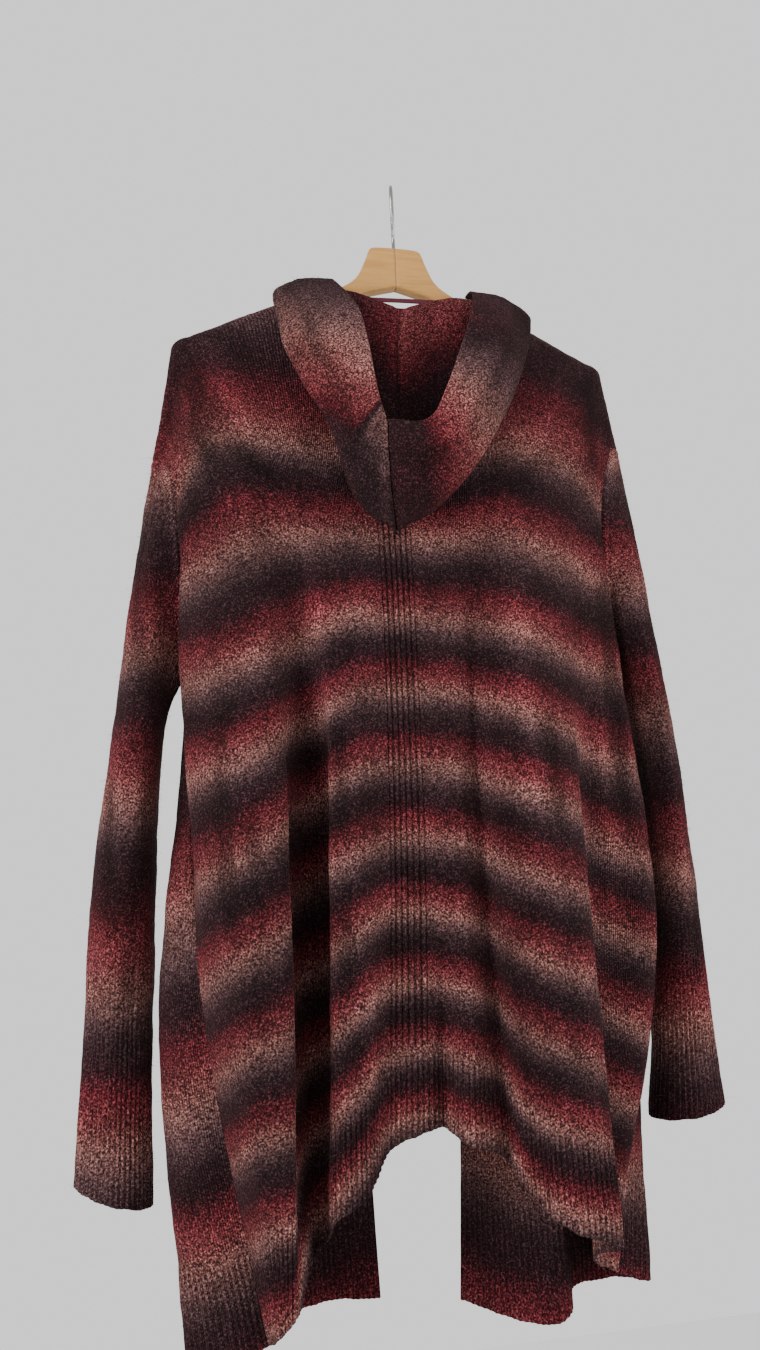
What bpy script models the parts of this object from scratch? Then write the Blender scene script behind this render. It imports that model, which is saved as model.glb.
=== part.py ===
"""Hooded cardigan hung on a wooden hanger, seen from its back side at -Y.

Metres, +Z up.  The origin is the inner top of the steel hook, +X is the right
side seen from behind, and the door side with the two fronts is +Y.
Every knitted piece is a wall lofted through courses (rows, counted down from
the shoulder) and fold lines (columns, counted across the body).
"""
import bpy
import bmesh
import numpy as np
from math import atan2, cos, pi, radians, sin
from mathutils import Vector
from mathutils.bvhtree import BVHTree

# ---------------------------------------------------------------- sizes ----
KNIT = 0.0024            # thickness of the knitted wall
SEAM = 0.0005            # space left between two sewn pieces
RIB_RAISE = 0.0011       # height of a rib over its groove
RIB_PITCH = 0.0070       # width of one rib and its groove
NECK_HALF = 0.088        # half of the neck opening on top of the arms
NECK_INNER = 0.072       # here the neck edge has turned behind the arm
NECK_SAG = 0.038         # drop of the back neck between the hanger arms
NECK_DEPTH = -0.0130     # the back neck hangs behind the hanger
SHOULDER_Z = -0.1270     # cloth over the hanger beside the neck
SHOULDER_SLOPE = 0.385   # fall of the hanger arm for each metre outwards
SHOULDER_RUN = 0.139     # cloth that lies along the arm
CORNER_RADIUS = 0.014    # round of the cloth over the arm's end
DROP_LEAN = 0.14         # lean outwards of the dropped shoulder
ARM_WRAP = 0.0102        # half width of the cloth's turn over the arm
ARM_CURVE = 0.022        # the hanger's ends bend this far towards the front

WOOD_THICK = 0.013
WOOD_CHAMFER = 0.003
HOOK_WIRE = 0.0018       # radius of the hook's wire
HOOK_LOOP = 0.0180       # inner radius of the hook's loop
HOOK_TURN = radians(76)  # the loop's plane, turned from +X towards +Y
TAPE_WIDTH = 0.0060
TAPE_THICK = 0.0010

# Courses at which the fold tables give positions, as a share of the length.
YOKE, CHEST, WAIST = 0.154, 0.335, 0.606
LEVELS = (0.0, YOKE, CHEST, WAIST, 1.0)
RIB_TOP = 0.885          # the hem rib starts here
COURSES = (0.0, 0.006, 0.012, 0.018, 0.05, 0.09, 0.13, 0.18, 0.235, 0.285, CHEST,
           0.41, 0.49, 0.57, 0.65, 0.73, 0.81, RIB_TOP)
UNDERARM = COURSES.index(CHEST)
WRAP_COURSE = COURSES[3]
STEPS = 2                # columns between two fold lines

# One row for each fold line of the back, from the left side to the right:
# its place along the shoulder, then x, y, z at yoke, chest, waist and hem.
BACK_FOLDS = (
    # name         shoulder  yoke                    chest                   waist                   hem
    ("seam_left",   -0.361, (-0.222, -0.006, -0.352), (-0.2100, 0.030, -0.520), (-0.198, -0.022, -0.800), (-0.1445, -0.016, -1.074)),
    ("side_left",   -0.330, (-0.214, -0.014, -0.334), (-0.2150, 0.000, -0.526), (-0.187, -0.050, -0.790), (-0.1420, -0.030, -1.068)),
    ("roll_left",   -0.296, (-0.205, -0.017, -0.312), (-0.180, -0.036, -0.522), (-0.165, -0.074, -0.773), (-0.1385, -0.046, -1.058)),
    ("lip_left",    -0.262, (-0.195, -0.019, -0.297), (-0.141, -0.040, -0.507), (-0.128, -0.070, -0.756), (-0.1290, -0.055, -1.046)),
    ("under_left",  -0.236, (-0.178, -0.020, -0.290), (-0.127, -0.030, -0.500), (-0.132, -0.034, -0.742), (-0.1210, -0.038, -1.036)),
    ("valley_left", -0.214, (-0.160, -0.020, -0.290), (-0.110, -0.022, -0.494), (-0.108, 0.004, -0.728), (-0.1080, -0.012, -1.016)),
    ("tuck_left",   -0.190, (-0.142, -0.020, -0.293), (-0.098, -0.029, -0.489), (-0.082, -0.018, -0.712), (-0.0960, -0.026, -0.998)),
    ("ridge_left",  -0.150, (-0.120, -0.020, -0.297), (-0.088, -0.036, -0.485), (-0.090, -0.053, -0.703), (-0.0940, -0.048, -0.980)),
    ("flat_left",   -0.088, (-0.086, -0.020, -0.306), (-0.066, -0.037, -0.482), (-0.068, -0.058, -0.691), (-0.0700, -0.054, -0.964)),
    ("neck_left",   -0.072, (-0.068, -0.019, -0.308), (-0.055, -0.0365, -0.480), (-0.058, -0.055, -0.687), (-0.0620, -0.051, -0.954)),
    ("rib_left",    -0.034, (-0.034, -0.018, -0.312), (-0.033, -0.034, -0.477), (-0.037, -0.045, -0.678), (-0.0450, -0.040, -0.931)),
    ("rib_right",   0.002, (0.000, -0.018, -0.312), (-0.002, -0.034, -0.475), (-0.005, -0.045, -0.678), (-0.0110, -0.040, -0.919)),
    ("step_in",     0.020, (0.016, -0.018, -0.310), (0.012, -0.035, -0.476), (0.010, -0.045, -0.680), (0.0050, -0.032, -0.919)),
    ("step_out",    0.040, (0.034, -0.018, -0.307), (0.030, -0.036, -0.477), (0.028, -0.048, -0.681), (0.0160, -0.056, -0.927)),
    ("neck_right",  0.072, (0.062, -0.0185, -0.301), (0.043, -0.0345, -0.478), (0.040, -0.042, -0.685), (0.0380, -0.050, -0.936)),
    ("crease",      0.088, (0.078, -0.019, -0.296), (0.054, -0.032, -0.479), (0.051, -0.038, -0.689), (0.0580, -0.039, -0.949)),
    ("rise_right",  0.128, (0.104, -0.020, -0.289), (0.073, -0.044, -0.481), (0.064, -0.060, -0.698), (0.0710, -0.060, -0.974)),
    ("roll_right",  0.170, (0.134, -0.020, -0.291), (0.106, -0.047, -0.490), (0.093, -0.078, -0.712), (0.0950, -0.078, -0.994)),
    ("lip_right",   0.206, (0.160, -0.019, -0.300), (0.142, -0.040, -0.505), (0.132, -0.070, -0.723), (0.1370, -0.076, -1.011)),
    ("under_right", 0.230, (0.174, -0.017, -0.309), (0.156, -0.026, -0.504), (0.137, -0.034, -0.728), (0.1260, -0.048, -1.024)),
    ("valley_right", 0.254, (0.186, -0.015, -0.322), (0.174, -0.016, -0.509), (0.160, -0.008, -0.745), (0.1330, -0.026, -1.038)),
    ("side_right",  0.290, (0.196, -0.013, -0.340), (0.2130, 0.000, -0.512), (0.222, -0.006, -0.772), (0.1480, -0.014, -1.047)),
    ("seam_right",  0.326, (0.204, -0.006, -0.350), (0.2100, 0.030, -0.500), (0.221, 0.024, -0.778), (0.1600, -0.004, -1.056)),
)
RIB_LEFT = [row[0] for row in BACK_FOLDS].index("rib_left")
RIB_RIGHT = RIB_LEFT + 1
NECK_LEFT = [row[0] for row in BACK_FOLDS].index("flat_left")
NECK_RIGHT = [row[0] for row in BACK_FOLDS].index("crease")

# The fronts, each from its side seam to its free front edge.  The first row
# follows the back's side seam, so only its armhole differs from the back's.
LEFT_FRONT_FOLDS = (
    # name        yoke                     chest                   waist                   hem
    ("seam",       (-0.225, 0.050, -0.358), (-0.2100, 0.030, -0.520), (-0.198, -0.022, -0.800), (-0.1445, -0.016, -1.074)),
    ("near",       (-0.218, 0.055, -0.340), (-0.2120, 0.046, -0.525), (-0.221, -0.012, -0.806), (-0.1720, -0.014, -1.085)),
    ("side",       (-0.205, 0.056, -0.318), (-0.205, 0.058, -0.520), (-0.2325, 0.008, -0.806), (-0.2040, 0.000, -1.092)),
    ("turn",       (-0.190, 0.054, -0.303), (-0.188, 0.062, -0.512), (-0.226, 0.034, -0.800), (-0.2060, 0.026, -1.090)),
    ("far_a",      (-0.172, 0.052, -0.296), (-0.170, 0.058, -0.505), (-0.198, 0.052, -0.790), (-0.1840, 0.042, -1.084)),
    ("far_b",      (-0.155, 0.050, -0.292), (-0.150, 0.056, -0.497), (-0.168, 0.046, -0.775), (-0.1560, 0.036, -1.078)),
    ("far_c",      (-0.138, 0.048, -0.290), (-0.130, 0.060, -0.488), (-0.138, 0.050, -0.758), (-0.1280, 0.034, -1.072)),
    ("far_d",      (-0.116, 0.044, -0.286), (-0.106, 0.060, -0.476), (-0.102, 0.060, -0.738), (-0.0860, 0.048, -1.071)),
    ("edge",       (-0.084, 0.040, -0.280), (-0.072, 0.056, -0.455), (-0.058, 0.056, -0.712), (-0.0420, 0.050, -1.074)),
)
RIGHT_FRONT_FOLDS = (
    # name        yoke                    chest                  waist                   hem
    ("seam",       (0.206, 0.050, -0.352), (0.2100, 0.030, -0.500), (0.221, 0.024, -0.778), (0.1600, -0.004, -1.056)),
    ("side",       (0.196, 0.057, -0.328), (0.2040, 0.054, -0.505), (0.219, 0.050, -0.778), (0.1960, 0.010, -1.071)),
    ("turn",       (0.182, 0.055, -0.312), (0.184, 0.061, -0.500), (0.190, 0.058, -0.770), (0.1900, 0.034, -1.076)),
    ("far",        (0.170, 0.053, -0.300), (0.166, 0.058, -0.494), (0.166, 0.056, -0.762), (0.1660, 0.046, -1.078)),
    ("bend",       (0.150, 0.050, -0.292), (0.146, 0.057, -0.488), (0.142, 0.046, -0.755), (0.1320, 0.034, -1.079)),
    ("bulge",      (0.128, 0.046, -0.288), (0.124, 0.060, -0.482), (0.120, 0.028, -0.748), (0.1160, 0.002, -1.089)),
    ("ebb",        (0.106, 0.042, -0.286), (0.100, 0.060, -0.472), (0.092, 0.040, -0.735), (0.0880, 0.010, -1.094)),
    ("edge",       (0.080, 0.038, -0.280), (0.070, 0.056, -0.455), (0.054, 0.056, -0.714), (0.0330, 0.050, -1.084)),
)

# One row for each section of a sleeve, down from the dropped shoulder.
SLEEVE_SECTIONS = {
    "left": (
        # along, outer x, outer z, inner x, inner z, middle y, half depth
        (0.00, -0.245, -0.315, -0.208, -0.520, 0.030, 0.030),
        (0.18, -0.259, -0.410, -0.230, -0.570, 0.030, 0.034),
        (0.42, -0.276, -0.565, -0.238, -0.660, 0.032, 0.040),
        (0.68, -0.293, -0.720, -0.240, -0.790, 0.032, 0.036),
        (0.86, -0.296, -0.850, -0.242, -0.895, 0.030, 0.030),
        (1.00, -0.301, -0.953, -0.240, -0.974, 0.028, 0.031),
    ),
    "right": (
        (0.00, 0.236, -0.281, 0.208, -0.500, 0.030, 0.030),
        (0.18, 0.250, -0.380, 0.228, -0.550, 0.030, 0.034),
        (0.42, 0.268, -0.545, 0.2385, -0.640, 0.032, 0.040),
        (0.68, 0.281, -0.700, 0.239, -0.770, 0.032, 0.036),
        (0.86, 0.285, -0.830, 0.233, -0.870, 0.030, 0.030),
        (1.00, 0.289, -0.930, 0.222, -0.940, 0.028, 0.031),
    ),
}
SLEEVE_RINGS = 15
CUFF_TOP = 0.86
SLEEVE_ROOM = 0.0022     # least room between a sleeve and the body beside it
SLEEVE_SETTLE = 0.30     # the armhole's outline turns into the tube by here

# Each hood half is a panel: columns run from its nape seam to its face edge,
# rows from the neckline, over the roll and down, to the seam over the crown.
HOOD_ROWS = {
    "left": (
        # nape                    quarter                   middle                   cheek                    face edge
        ("neck", (0.000, -0.0130, -0.1670), (-0.053, -0.0100, -0.1480), (-0.122, 0.004, -0.1330), (-0.102, 0.007, -0.1165), (-0.074, 0.008, -0.1105)),
        ("roll", (-0.001, -0.0240, -0.152), (-0.056, -0.0260, -0.137), (-0.125, -0.011, -0.1350), (-0.105, -0.009, -0.1190), (-0.071, -0.007, -0.1145)),
        ("nape", (-0.008, -0.034, -0.200), (-0.064, -0.035, -0.182), (-0.127, -0.026, -0.156), (-0.107, -0.027, -0.135), (-0.066, -0.024, -0.1285)),
        ("ear", (-0.011, -0.040, -0.265), (-0.062, -0.041, -0.245), (-0.117, -0.046, -0.222), (-0.094, -0.062, -0.198), (-0.050, -0.058, -0.178)),
        ("brow", (-0.016, -0.045, -0.335), (-0.052, -0.046, -0.312), (-0.081, -0.060, -0.298), (-0.064, -0.078, -0.284), (-0.040, -0.079, -0.268)),
        ("pouch", (-0.018, -0.046, -0.380), (-0.052, -0.053, -0.374), (-0.066, -0.068, -0.345), (-0.054, -0.084, -0.318), (-0.037, -0.086, -0.290)),
        ("crown", (-0.0212, -0.057, -0.403), (-0.027, -0.075, -0.394), (-0.0315, -0.085, -0.366), (-0.0335, -0.089, -0.334), (-0.0335, -0.089, -0.304)),
    ),
    "right": (
        ("neck", (0.000, -0.0130, -0.1670), (0.056, -0.0100, -0.1480), (0.126, 0.004, -0.1345), (0.106, 0.007, -0.1180), (0.078, 0.008, -0.1115)),
        ("roll", (-0.001, -0.0240, -0.152), (0.058, -0.0260, -0.136), (0.130, -0.011, -0.1370), (0.110, -0.009, -0.1205), (0.078, -0.007, -0.1155)),
        ("nape", (-0.008, -0.034, -0.200), (0.060, -0.035, -0.182), (0.134, -0.026, -0.160), (0.115, -0.027, -0.139), (0.076, -0.024, -0.1300)),
        ("ear", (-0.011, -0.040, -0.265), (0.046, -0.041, -0.252), (0.110, -0.047, -0.232), (0.094, -0.063, -0.198), (0.060, -0.060, -0.178)),
        ("brow", (-0.016, -0.045, -0.335), (0.026, -0.047, -0.330), (0.078, -0.062, -0.296), (0.060, -0.080, -0.268), (0.028, -0.080, -0.262)),
        ("pouch", (-0.018, -0.046, -0.380), (0.014, -0.054, -0.376), (0.038, -0.069, -0.346), (0.026, -0.085, -0.318), (0.006, -0.087, -0.300)),
        ("crown", (-0.0198, -0.057, -0.403), (-0.026, -0.075, -0.394), (-0.0305, -0.085, -0.366), (-0.0325, -0.089, -0.334), (-0.0325, -0.089, -0.304)),
    ),
}
HOOD_STEPS = 3           # columns and rows between two of the table's
HOOD_LIFT = 0.0022       # the hood starts this far over the neck edge
# Where the hood's first columns meet the back neck, out from the middle.
NECK_STEPS = {
    "left": (0.0, 0.017, 0.034, 0.053, 0.072),
    "right": (0.0, 0.020, 0.040, 0.056, 0.072),
}
BAND_COLUMNS = 3         # the face band is this many columns wide

# The hanger's outline, from its mitred middle to the rounded end of an arm.
ARM_OUTLINE = (
    # out,   top,    bottom
    (0.0002, -0.0690, -0.1140),
    (0.0130, -0.0690, -0.1175),
    (0.0235, -0.0700, -0.1205),
    (0.0275, -0.0735, -0.1215),
    (0.0320, -0.0860, -0.1230),
    (0.0420, -0.1060, -0.1280),
    (0.0600, -0.1190, -0.1360),
    (0.0880, -0.1322, -0.1495),
    (0.1450, -0.1530, -0.1720),
    (0.1950, -0.1722, -0.1900),
    (0.2100, -0.1800, -0.1925),
)

# --------------------------------------------------------------- colours ---
COLOURS = {
    # slot: colour, roughness, metallic
    "knit_red": ((0.24, 0.045, 0.06, 1.0), 0.95, 0.0),
    "knit_dark": ((0.06, 0.035, 0.045, 1.0), 0.95, 0.0),
    "knit_rose": ((0.36, 0.15, 0.14, 1.0), 0.95, 0.0),
    "tape": ((0.10, 0.02, 0.03, 1.0), 0.80, 0.0),
    "wood": ((0.62, 0.42, 0.22, 1.0), 0.50, 0.0),
    "steel": ((0.62, 0.62, 0.63, 1.0), 0.25, 1.0),
}


# ---------------------------------------------------------------- splines --
def hermite(p0, p1, m0, m1, s):
    """Cubic between p0 and p1 with end slopes m0 and m1, at s from 0 to 1."""
    s2, s3 = s * s, s * s * s
    return ((2 * s3 - 3 * s2 + 1) * p0 + (s3 - 2 * s2 + s) * m0
            + (3 * s2 - 2 * s3) * p1 + (s3 - s2) * m1)


def through(points, knots, at):
    """Smooth curve through points given at knots, read at one value."""
    last = len(knots) - 1
    k = min(max(int(np.searchsorted(knots, at, side="right")) - 1, 0), last - 1)

    def slope(i):
        a, b = max(i - 1, 0), min(i + 1, last)
        return (points[b] - points[a]) / (knots[b] - knots[a])

    span = knots[k + 1] - knots[k]
    s = (at - knots[k]) / span
    return hermite(points[k], points[k + 1], slope(k) * span, slope(k + 1) * span, s)


def chord_knots(points):
    """Knots for a curve across folds: steps of the square root of each chord."""
    steps = np.linalg.norm(np.diff(points, axis=0), axis=1) ** 0.5
    return np.concatenate([[0.0], np.cumsum(steps)])


def refine(points, steps):
    """The points with steps intervals between each two, on a smooth curve."""
    points = np.array(points)
    knots = chord_knots(points)
    out = []
    for k in range(len(points) - 1):
        for i in range(steps):
            out.append(through(points, knots, knots[k] + (knots[k + 1] - knots[k]) * i / steps))
    out.append(points[-1])
    return np.array(out)


def refine_grid(rows, steps, first):
    """A table of points made finer both ways, its first row beginning as given."""
    wide = np.array([refine(row, steps) for row in rows])
    wide[0, :len(first)] = first
    return np.array([refine(wide[:, j], steps) for j in range(wide.shape[1])]).swapaxes(0, 1)


# --------------------------------------------------------------- shoulder --
def arm_depth(x):
    """How far the hanger's arm has bent towards the front at x."""
    return ARM_CURVE * (x / 0.21) ** 2


def shoulder(d):
    """Point, outward direction and depth of the shoulder line at d metres from
    the centre: along the arm, round its end, then down the dropped shoulder."""
    side = -1.0 if d < 0 else 1.0
    along = abs(d) - NECK_HALF
    fall = atan2(SHOULDER_SLOPE, 1.0)
    turn = pi / 2 - atan2(DROP_LEAN, 1.0) - fall
    bend = CORNER_RADIUS * turn
    x, z = NECK_HALF, SHOULDER_Z
    run = min(along, SHOULDER_RUN)
    x += run * cos(fall)
    z -= run * sin(fall)
    angle = fall
    if along > SHOULDER_RUN:
        swept = min(along - SHOULDER_RUN, bend) / CORNER_RADIUS
        x += CORNER_RADIUS * (sin(fall + swept) - sin(fall))
        z -= CORNER_RADIUS * (cos(fall) - cos(fall + swept))
        angle = fall + swept
    rest = along - SHOULDER_RUN - bend
    if rest > 0:
        x += rest * cos(angle)
        z -= rest * sin(angle)
    normal = np.array([side * sin(angle), 0.0, cos(angle)])
    return np.array([side * x, arm_depth(min(x, 0.21)), z]), normal


def neck_edge(d):
    """The back neck between the hanger's arms."""
    share = (d / NECK_INNER) ** 2
    end, _ = shoulder(NECK_INNER)
    y = NECK_DEPTH + (end[1] - ARM_WRAP - NECK_DEPTH) * share
    return np.array([d, y, end[2] - ARM_WRAP - NECK_SAG * (1 - share)])


def over_arm(d, side):
    """The first courses of one fold line, over the arm and down beside it."""
    steps = [t / WRAP_COURSE for t in COURSES if t <= WRAP_COURSE]
    drop = ARM_WRAP * 1.3
    if abs(d) < NECK_INNER - 1e-6:
        return [neck_edge(d) - np.array([0.0, 0.0, drop * s]) for s in steps]
    top, normal = shoulder(d)
    centre = top - normal * ARM_WRAP
    start = pi / 2 * min(max((NECK_HALF - abs(d)) / (NECK_HALF - NECK_INNER), 0.0), 1.0)
    arc = ARM_WRAP * (pi / 2 - start)
    path = arc + drop * start / (pi / 2)
    out = []
    for s in steps:
        gone = s * path
        turn = start + min(gone, arc) / ARM_WRAP
        point = centre + ARM_WRAP * (normal * cos(turn) + np.array([0.0, side * sin(turn), 0.0]))
        out.append(point - np.array([0.0, 0.0, max(gone - arc, 0.0)]))
    return out


def wale(d, levels, side):
    """Points down one fold line; side is -1 on the back and 1 on a front."""
    head = over_arm(d, side)
    anchors = np.array([head[-1]] + [np.array(p) for p in levels])
    knots = (WRAP_COURSE,) + LEVELS[1:]
    below = [through(anchors, knots, t) for t in COURSES + (1.0,) if t > WRAP_COURSE]
    return np.array(head + below)


def body_grid(places, tables, side):
    """Rows of courses by columns of wales, made finer between the folds."""
    levels = np.array([refine([row[k] for row in tables], STEPS) for k in range(len(LEVELS) - 1)])
    fine = np.interp(np.arange(levels.shape[1]) / STEPS, range(len(places)), places)
    wales = [wale(d, levels[:, i], side) for i, d in enumerate(fine)]
    return np.array(wales).swapaxes(0, 1)


# ------------------------------------------------------------------ walls --
def unit(v):
    return v / np.maximum(np.linalg.norm(v, axis=-1, keepdims=True), 1e-12)


def grid_normals(grid, before=None, after=None, above=None, below=None, closed=False):
    """Normals of a grid; the neighbours beyond its edges make seams match."""
    g = np.array(grid)
    rows, cols = g.shape[:2]
    up = np.concatenate([(g[:1] if above is None else above[None]), g[:-1]])
    down = np.concatenate([g[1:], (g[-1:] if below is None else below[None])])
    if closed:
        left, right = np.roll(g, 1, axis=1), np.roll(g, -1, axis=1)
    else:
        first = g[:, :1] if before is None else before[:, None]
        last = g[:, -1:] if after is None else after[:, None]
        left = np.concatenate([first, g[:, :-1]], axis=1)
        right = np.concatenate([g[:, 1:], last], axis=1)
    across = unit(right - g) + unit(g - left)
    along = unit(down - g) + unit(g - up)
    return unit(np.cross(across, along))


def part_seams(grid, normals, edges):
    """Draw the named edges in by half of the space at a seam, and by a little
    more at a sharp fold, where the flat facets of a rim stray from its curve."""
    g = np.array(grid)

    def drawn_in(edge, beside, facing):
        way = unit(beside - edge)
        turn = np.abs(np.sum(np.diff(facing, axis=0) * way[1:], axis=1))
        near = np.maximum(np.concatenate([[0.0], turn]), np.concatenate([turn, [0.0]]))
        return edge + way * (SEAM + near * KNIT * 2)[:, None] / 2

    if "top" in edges:
        g[0] = drawn_in(g[0], grid[1], normals[0])
    if "bottom" in edges:
        g[-1] = drawn_in(g[-1], grid[-2], normals[-1])
    if "first" in edges:
        g[:, 0] += unit(g[:, 1] - g[:, 0]) * SEAM / 2
    if "last" in edges:
        g[:, -1] += unit(g[:, -2] - g[:, -1]) * SEAM / 2
    return g


def wall_mesh(name, grid, normals, raised=None, closed=False, thick=KNIT):
    """A closed wall over a grid: its outer points are raised, its inner plain."""
    rows, cols = grid.shape[:2]
    lift = np.full((rows, cols, 1), thick / 2)
    if raised is not None:
        lift = lift + np.array(raised)[..., None]
    outer = grid + normals * lift
    inner = grid - normals * thick / 2
    bm = bmesh.new()
    out = [[bm.verts.new(p) for p in row] for row in outer]
    inn = [[bm.verts.new(p) for p in row] for row in inner]
    spans = cols if closed else cols - 1
    for r in range(rows - 1):
        for c in range(spans):
            n = (c + 1) % cols
            bm.faces.new((out[r][c], out[r + 1][c], out[r + 1][n], out[r][n]))
            bm.faces.new((inn[r][c], inn[r][n], inn[r + 1][n], inn[r + 1][c]))
    for c in range(spans):
        n = (c + 1) % cols
        bm.faces.new((out[0][c], out[0][n], inn[0][n], inn[0][c]))
        bm.faces.new((out[-1][n], out[-1][c], inn[-1][c], inn[-1][n]))
    if not closed:
        for r in range(rows - 1):
            bm.faces.new((out[r + 1][0], out[r][0], inn[r][0], inn[r + 1][0]))
            bm.faces.new((out[r][-1], out[r + 1][-1], inn[r + 1][-1], inn[r][-1]))
    if bm.calc_volume(signed=True) < 0:
        bmesh.ops.reverse_faces(bm, faces=bm.faces)
    mesh = bpy.data.meshes.new(name)
    bm.to_mesh(mesh)
    bm.free()
    return mesh


def ribbed(grid, normals, counts):
    """Split each span of columns into an even count, every other one a rib."""
    columns, directions, heights = [], [], []
    place = 0
    for c, count in enumerate(counts):
        n = (c + 1) % grid.shape[1]
        for i in range(count):
            s = i / count
            columns.append(grid[:, c] * (1 - s) + grid[:, n] * s)
            directions.append(normals[:, c] * (1 - s) + normals[:, n] * s)
            heights.append(RIB_RAISE * (place % 2))
            place += 1
    if len(counts) == grid.shape[1] - 1:
        columns.append(grid[:, -1])
        directions.append(normals[:, -1])
        heights.append(0.0)
    fine = np.array(columns).swapaxes(0, 1)
    facing = np.array(directions).swapaxes(0, 1)
    return fine, facing, np.tile(np.array(heights), (grid.shape[0], 1))


def rib_counts(grid, closed=False):
    """Columns in each span so that two of them make one rib pitch."""
    row = grid[0]
    ends = np.roll(row, -1, axis=0) if closed else row[1:]
    spans = np.linalg.norm(ends - row[:len(ends)], axis=1)
    counts = np.maximum(1, np.round(spans / (RIB_PITCH / 2))).astype(int)
    if counts.sum() % 2 == 1:
        counts[int(np.argmax(spans))] += 1
    return counts


# ----------------------------------------------------------------- scene ---
def clear_scene():
    for obj in list(bpy.data.objects):
        bpy.data.objects.remove(obj, do_unlink=True)


def material(slot):
    found = bpy.data.materials.get(slot)
    if found:
        return found
    colour, rough, metal = COLOURS[slot]
    mat = bpy.data.materials.new(slot)
    mat.use_nodes = True
    shader = mat.node_tree.nodes["Principled BSDF"]
    shader.inputs["Base Color"].default_value = colour
    shader.inputs["Roughness"].default_value = rough
    shader.inputs["Metallic"].default_value = metal
    return mat


def place(name, mesh, slot, collection, smooth=True):
    obj = bpy.data.objects.new(name, mesh)
    mesh.materials.clear()
    mesh.materials.append(material(slot).copy())
    if smooth:
        mesh.shade_smooth()
    collection.objects.link(obj)
    return obj


# --------------------------------------------------------------- garment ---
def round_armhole(grid, edge, beside):
    """Keep the back's armhole edge out flat until it nears the underarm."""
    first = next(r for r, t in enumerate(COURSES) if t > YOKE) - 1
    start, end = grid[first, edge, 1], grid[UNDERARM, edge, 1]
    for r in range(first, UNDERARM):
        share = (r - first) / (UNDERARM - first)
        shift = start + (end - start) * share ** 2.5 - grid[r, edge, 1]
        grid[r, edge, 1] += shift
        grid[r, beside, 1] += shift / 2


def back_and_fronts():
    """The three grids of the body, courses by wales, hem rows included."""
    places = [row[1] for row in BACK_FOLDS]
    back = body_grid(places, [row[2:] for row in BACK_FOLDS], -1)
    round_armhole(back, 0, 1)
    round_armhole(back, -1, -2)
    left = body_grid(places[:NECK_LEFT + 1], [row[1:] for row in LEFT_FRONT_FOLDS], 1)
    right_places = places[:NECK_RIGHT - 1:-1]
    right = body_grid(right_places, [row[1:] for row in RIGHT_FRONT_FOLDS], 1)
    left[UNDERARM:, 0] = back[UNDERARM:, 0]
    right[UNDERARM:, 0] = back[UNDERARM:, -1]
    return back, left, right


def sleeve_grid(side, back_edge, front_edge, body):
    """Rings from the armhole to the cuff's rim, front edge last."""
    table = np.array(SLEEVE_SECTIONS[side])
    loop = np.concatenate([back_edge, front_edge[-2:0:-1]])
    half = len(back_edge) - 1
    angles = np.array([pi * i / half for i in range(2 * half)])
    along = np.concatenate([np.linspace(0, CUFF_TOP, SLEEVE_RINGS), [1.0]])

    def tube(w):
        out_x, out_z, in_x, in_z, mid_y, depth = through(table[:, 1:], table[:, 0], w)
        outer = np.array([out_x, mid_y, out_z])
        inner = np.array([in_x, mid_y, in_z])
        ring = (outer + inner) / 2 + (outer - inner) / 2 * np.cos(angles)[:, None]
        ring[:, 1] -= depth * np.sin(angles)
        return ring

    sign = -1.0 if side == "left" else 1.0
    settled = tube(SLEEVE_SETTLE)
    lead = settled - (tube(SLEEVE_SETTLE + 0.01) - tube(SLEEVE_SETTLE - 0.01)) * 20 * SLEEVE_SETTLE
    around = (1 - np.cos(angles)) / 2
    reach = np.interp(around, (0.0, 0.5, 1.0), (0.004, 0.026, 0.020))
    droop = np.interp(around, (0.0, 0.5, 1.0), (0.030, 0.008, 0.010))
    start = loop + np.stack([sign * reach, 0 * reach, -droop], axis=1)
    rings = []
    for w in along:
        u = w / SLEEVE_SETTLE
        v = 1 - u
        curve = loop * v ** 3 + start * 3 * u * v * v + lead * 3 * u * u * v + settled * u ** 3
        rings.append(curve if u < 1 else tube(w))
    for ring in rings[1:]:
        for point in ring:
            hit = body.ray_cast(Vector((sign, point[1], point[2])), Vector((-sign, 0.0, 0.0)))[0]
            if hit is not None:
                point[0] = sign * max(abs(point[0]), abs(hit[0]) + KNIT + SLEEVE_ROOM)
    return np.array(rings)


def body_surface(*grids):
    """The middle of the body's walls, for measuring the sleeves' room."""
    points, faces = [], []
    for grid in grids:
        rows, cols = grid.shape[:2]
        first = len(points)
        points += [Vector(p) for p in grid.reshape(-1, 3)]
        for r in range(rows - 1):
            for c in range(cols - 1):
                at = first + r * cols + c
                faces.append((at, at + 1, at + cols + 1, at + cols))
    return BVHTree.FromPolygons(points, faces)


def underarm_room():
    """Room for the walls' corners where the sleeve turns under the arm."""
    around = (1 - np.cos(np.arange(2 * UNDERARM) * pi / UNDERARM)) / 2
    return (0.0024 * np.clip((around - 0.75) / 0.25, 0.0, 1.0))[:, None]


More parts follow.
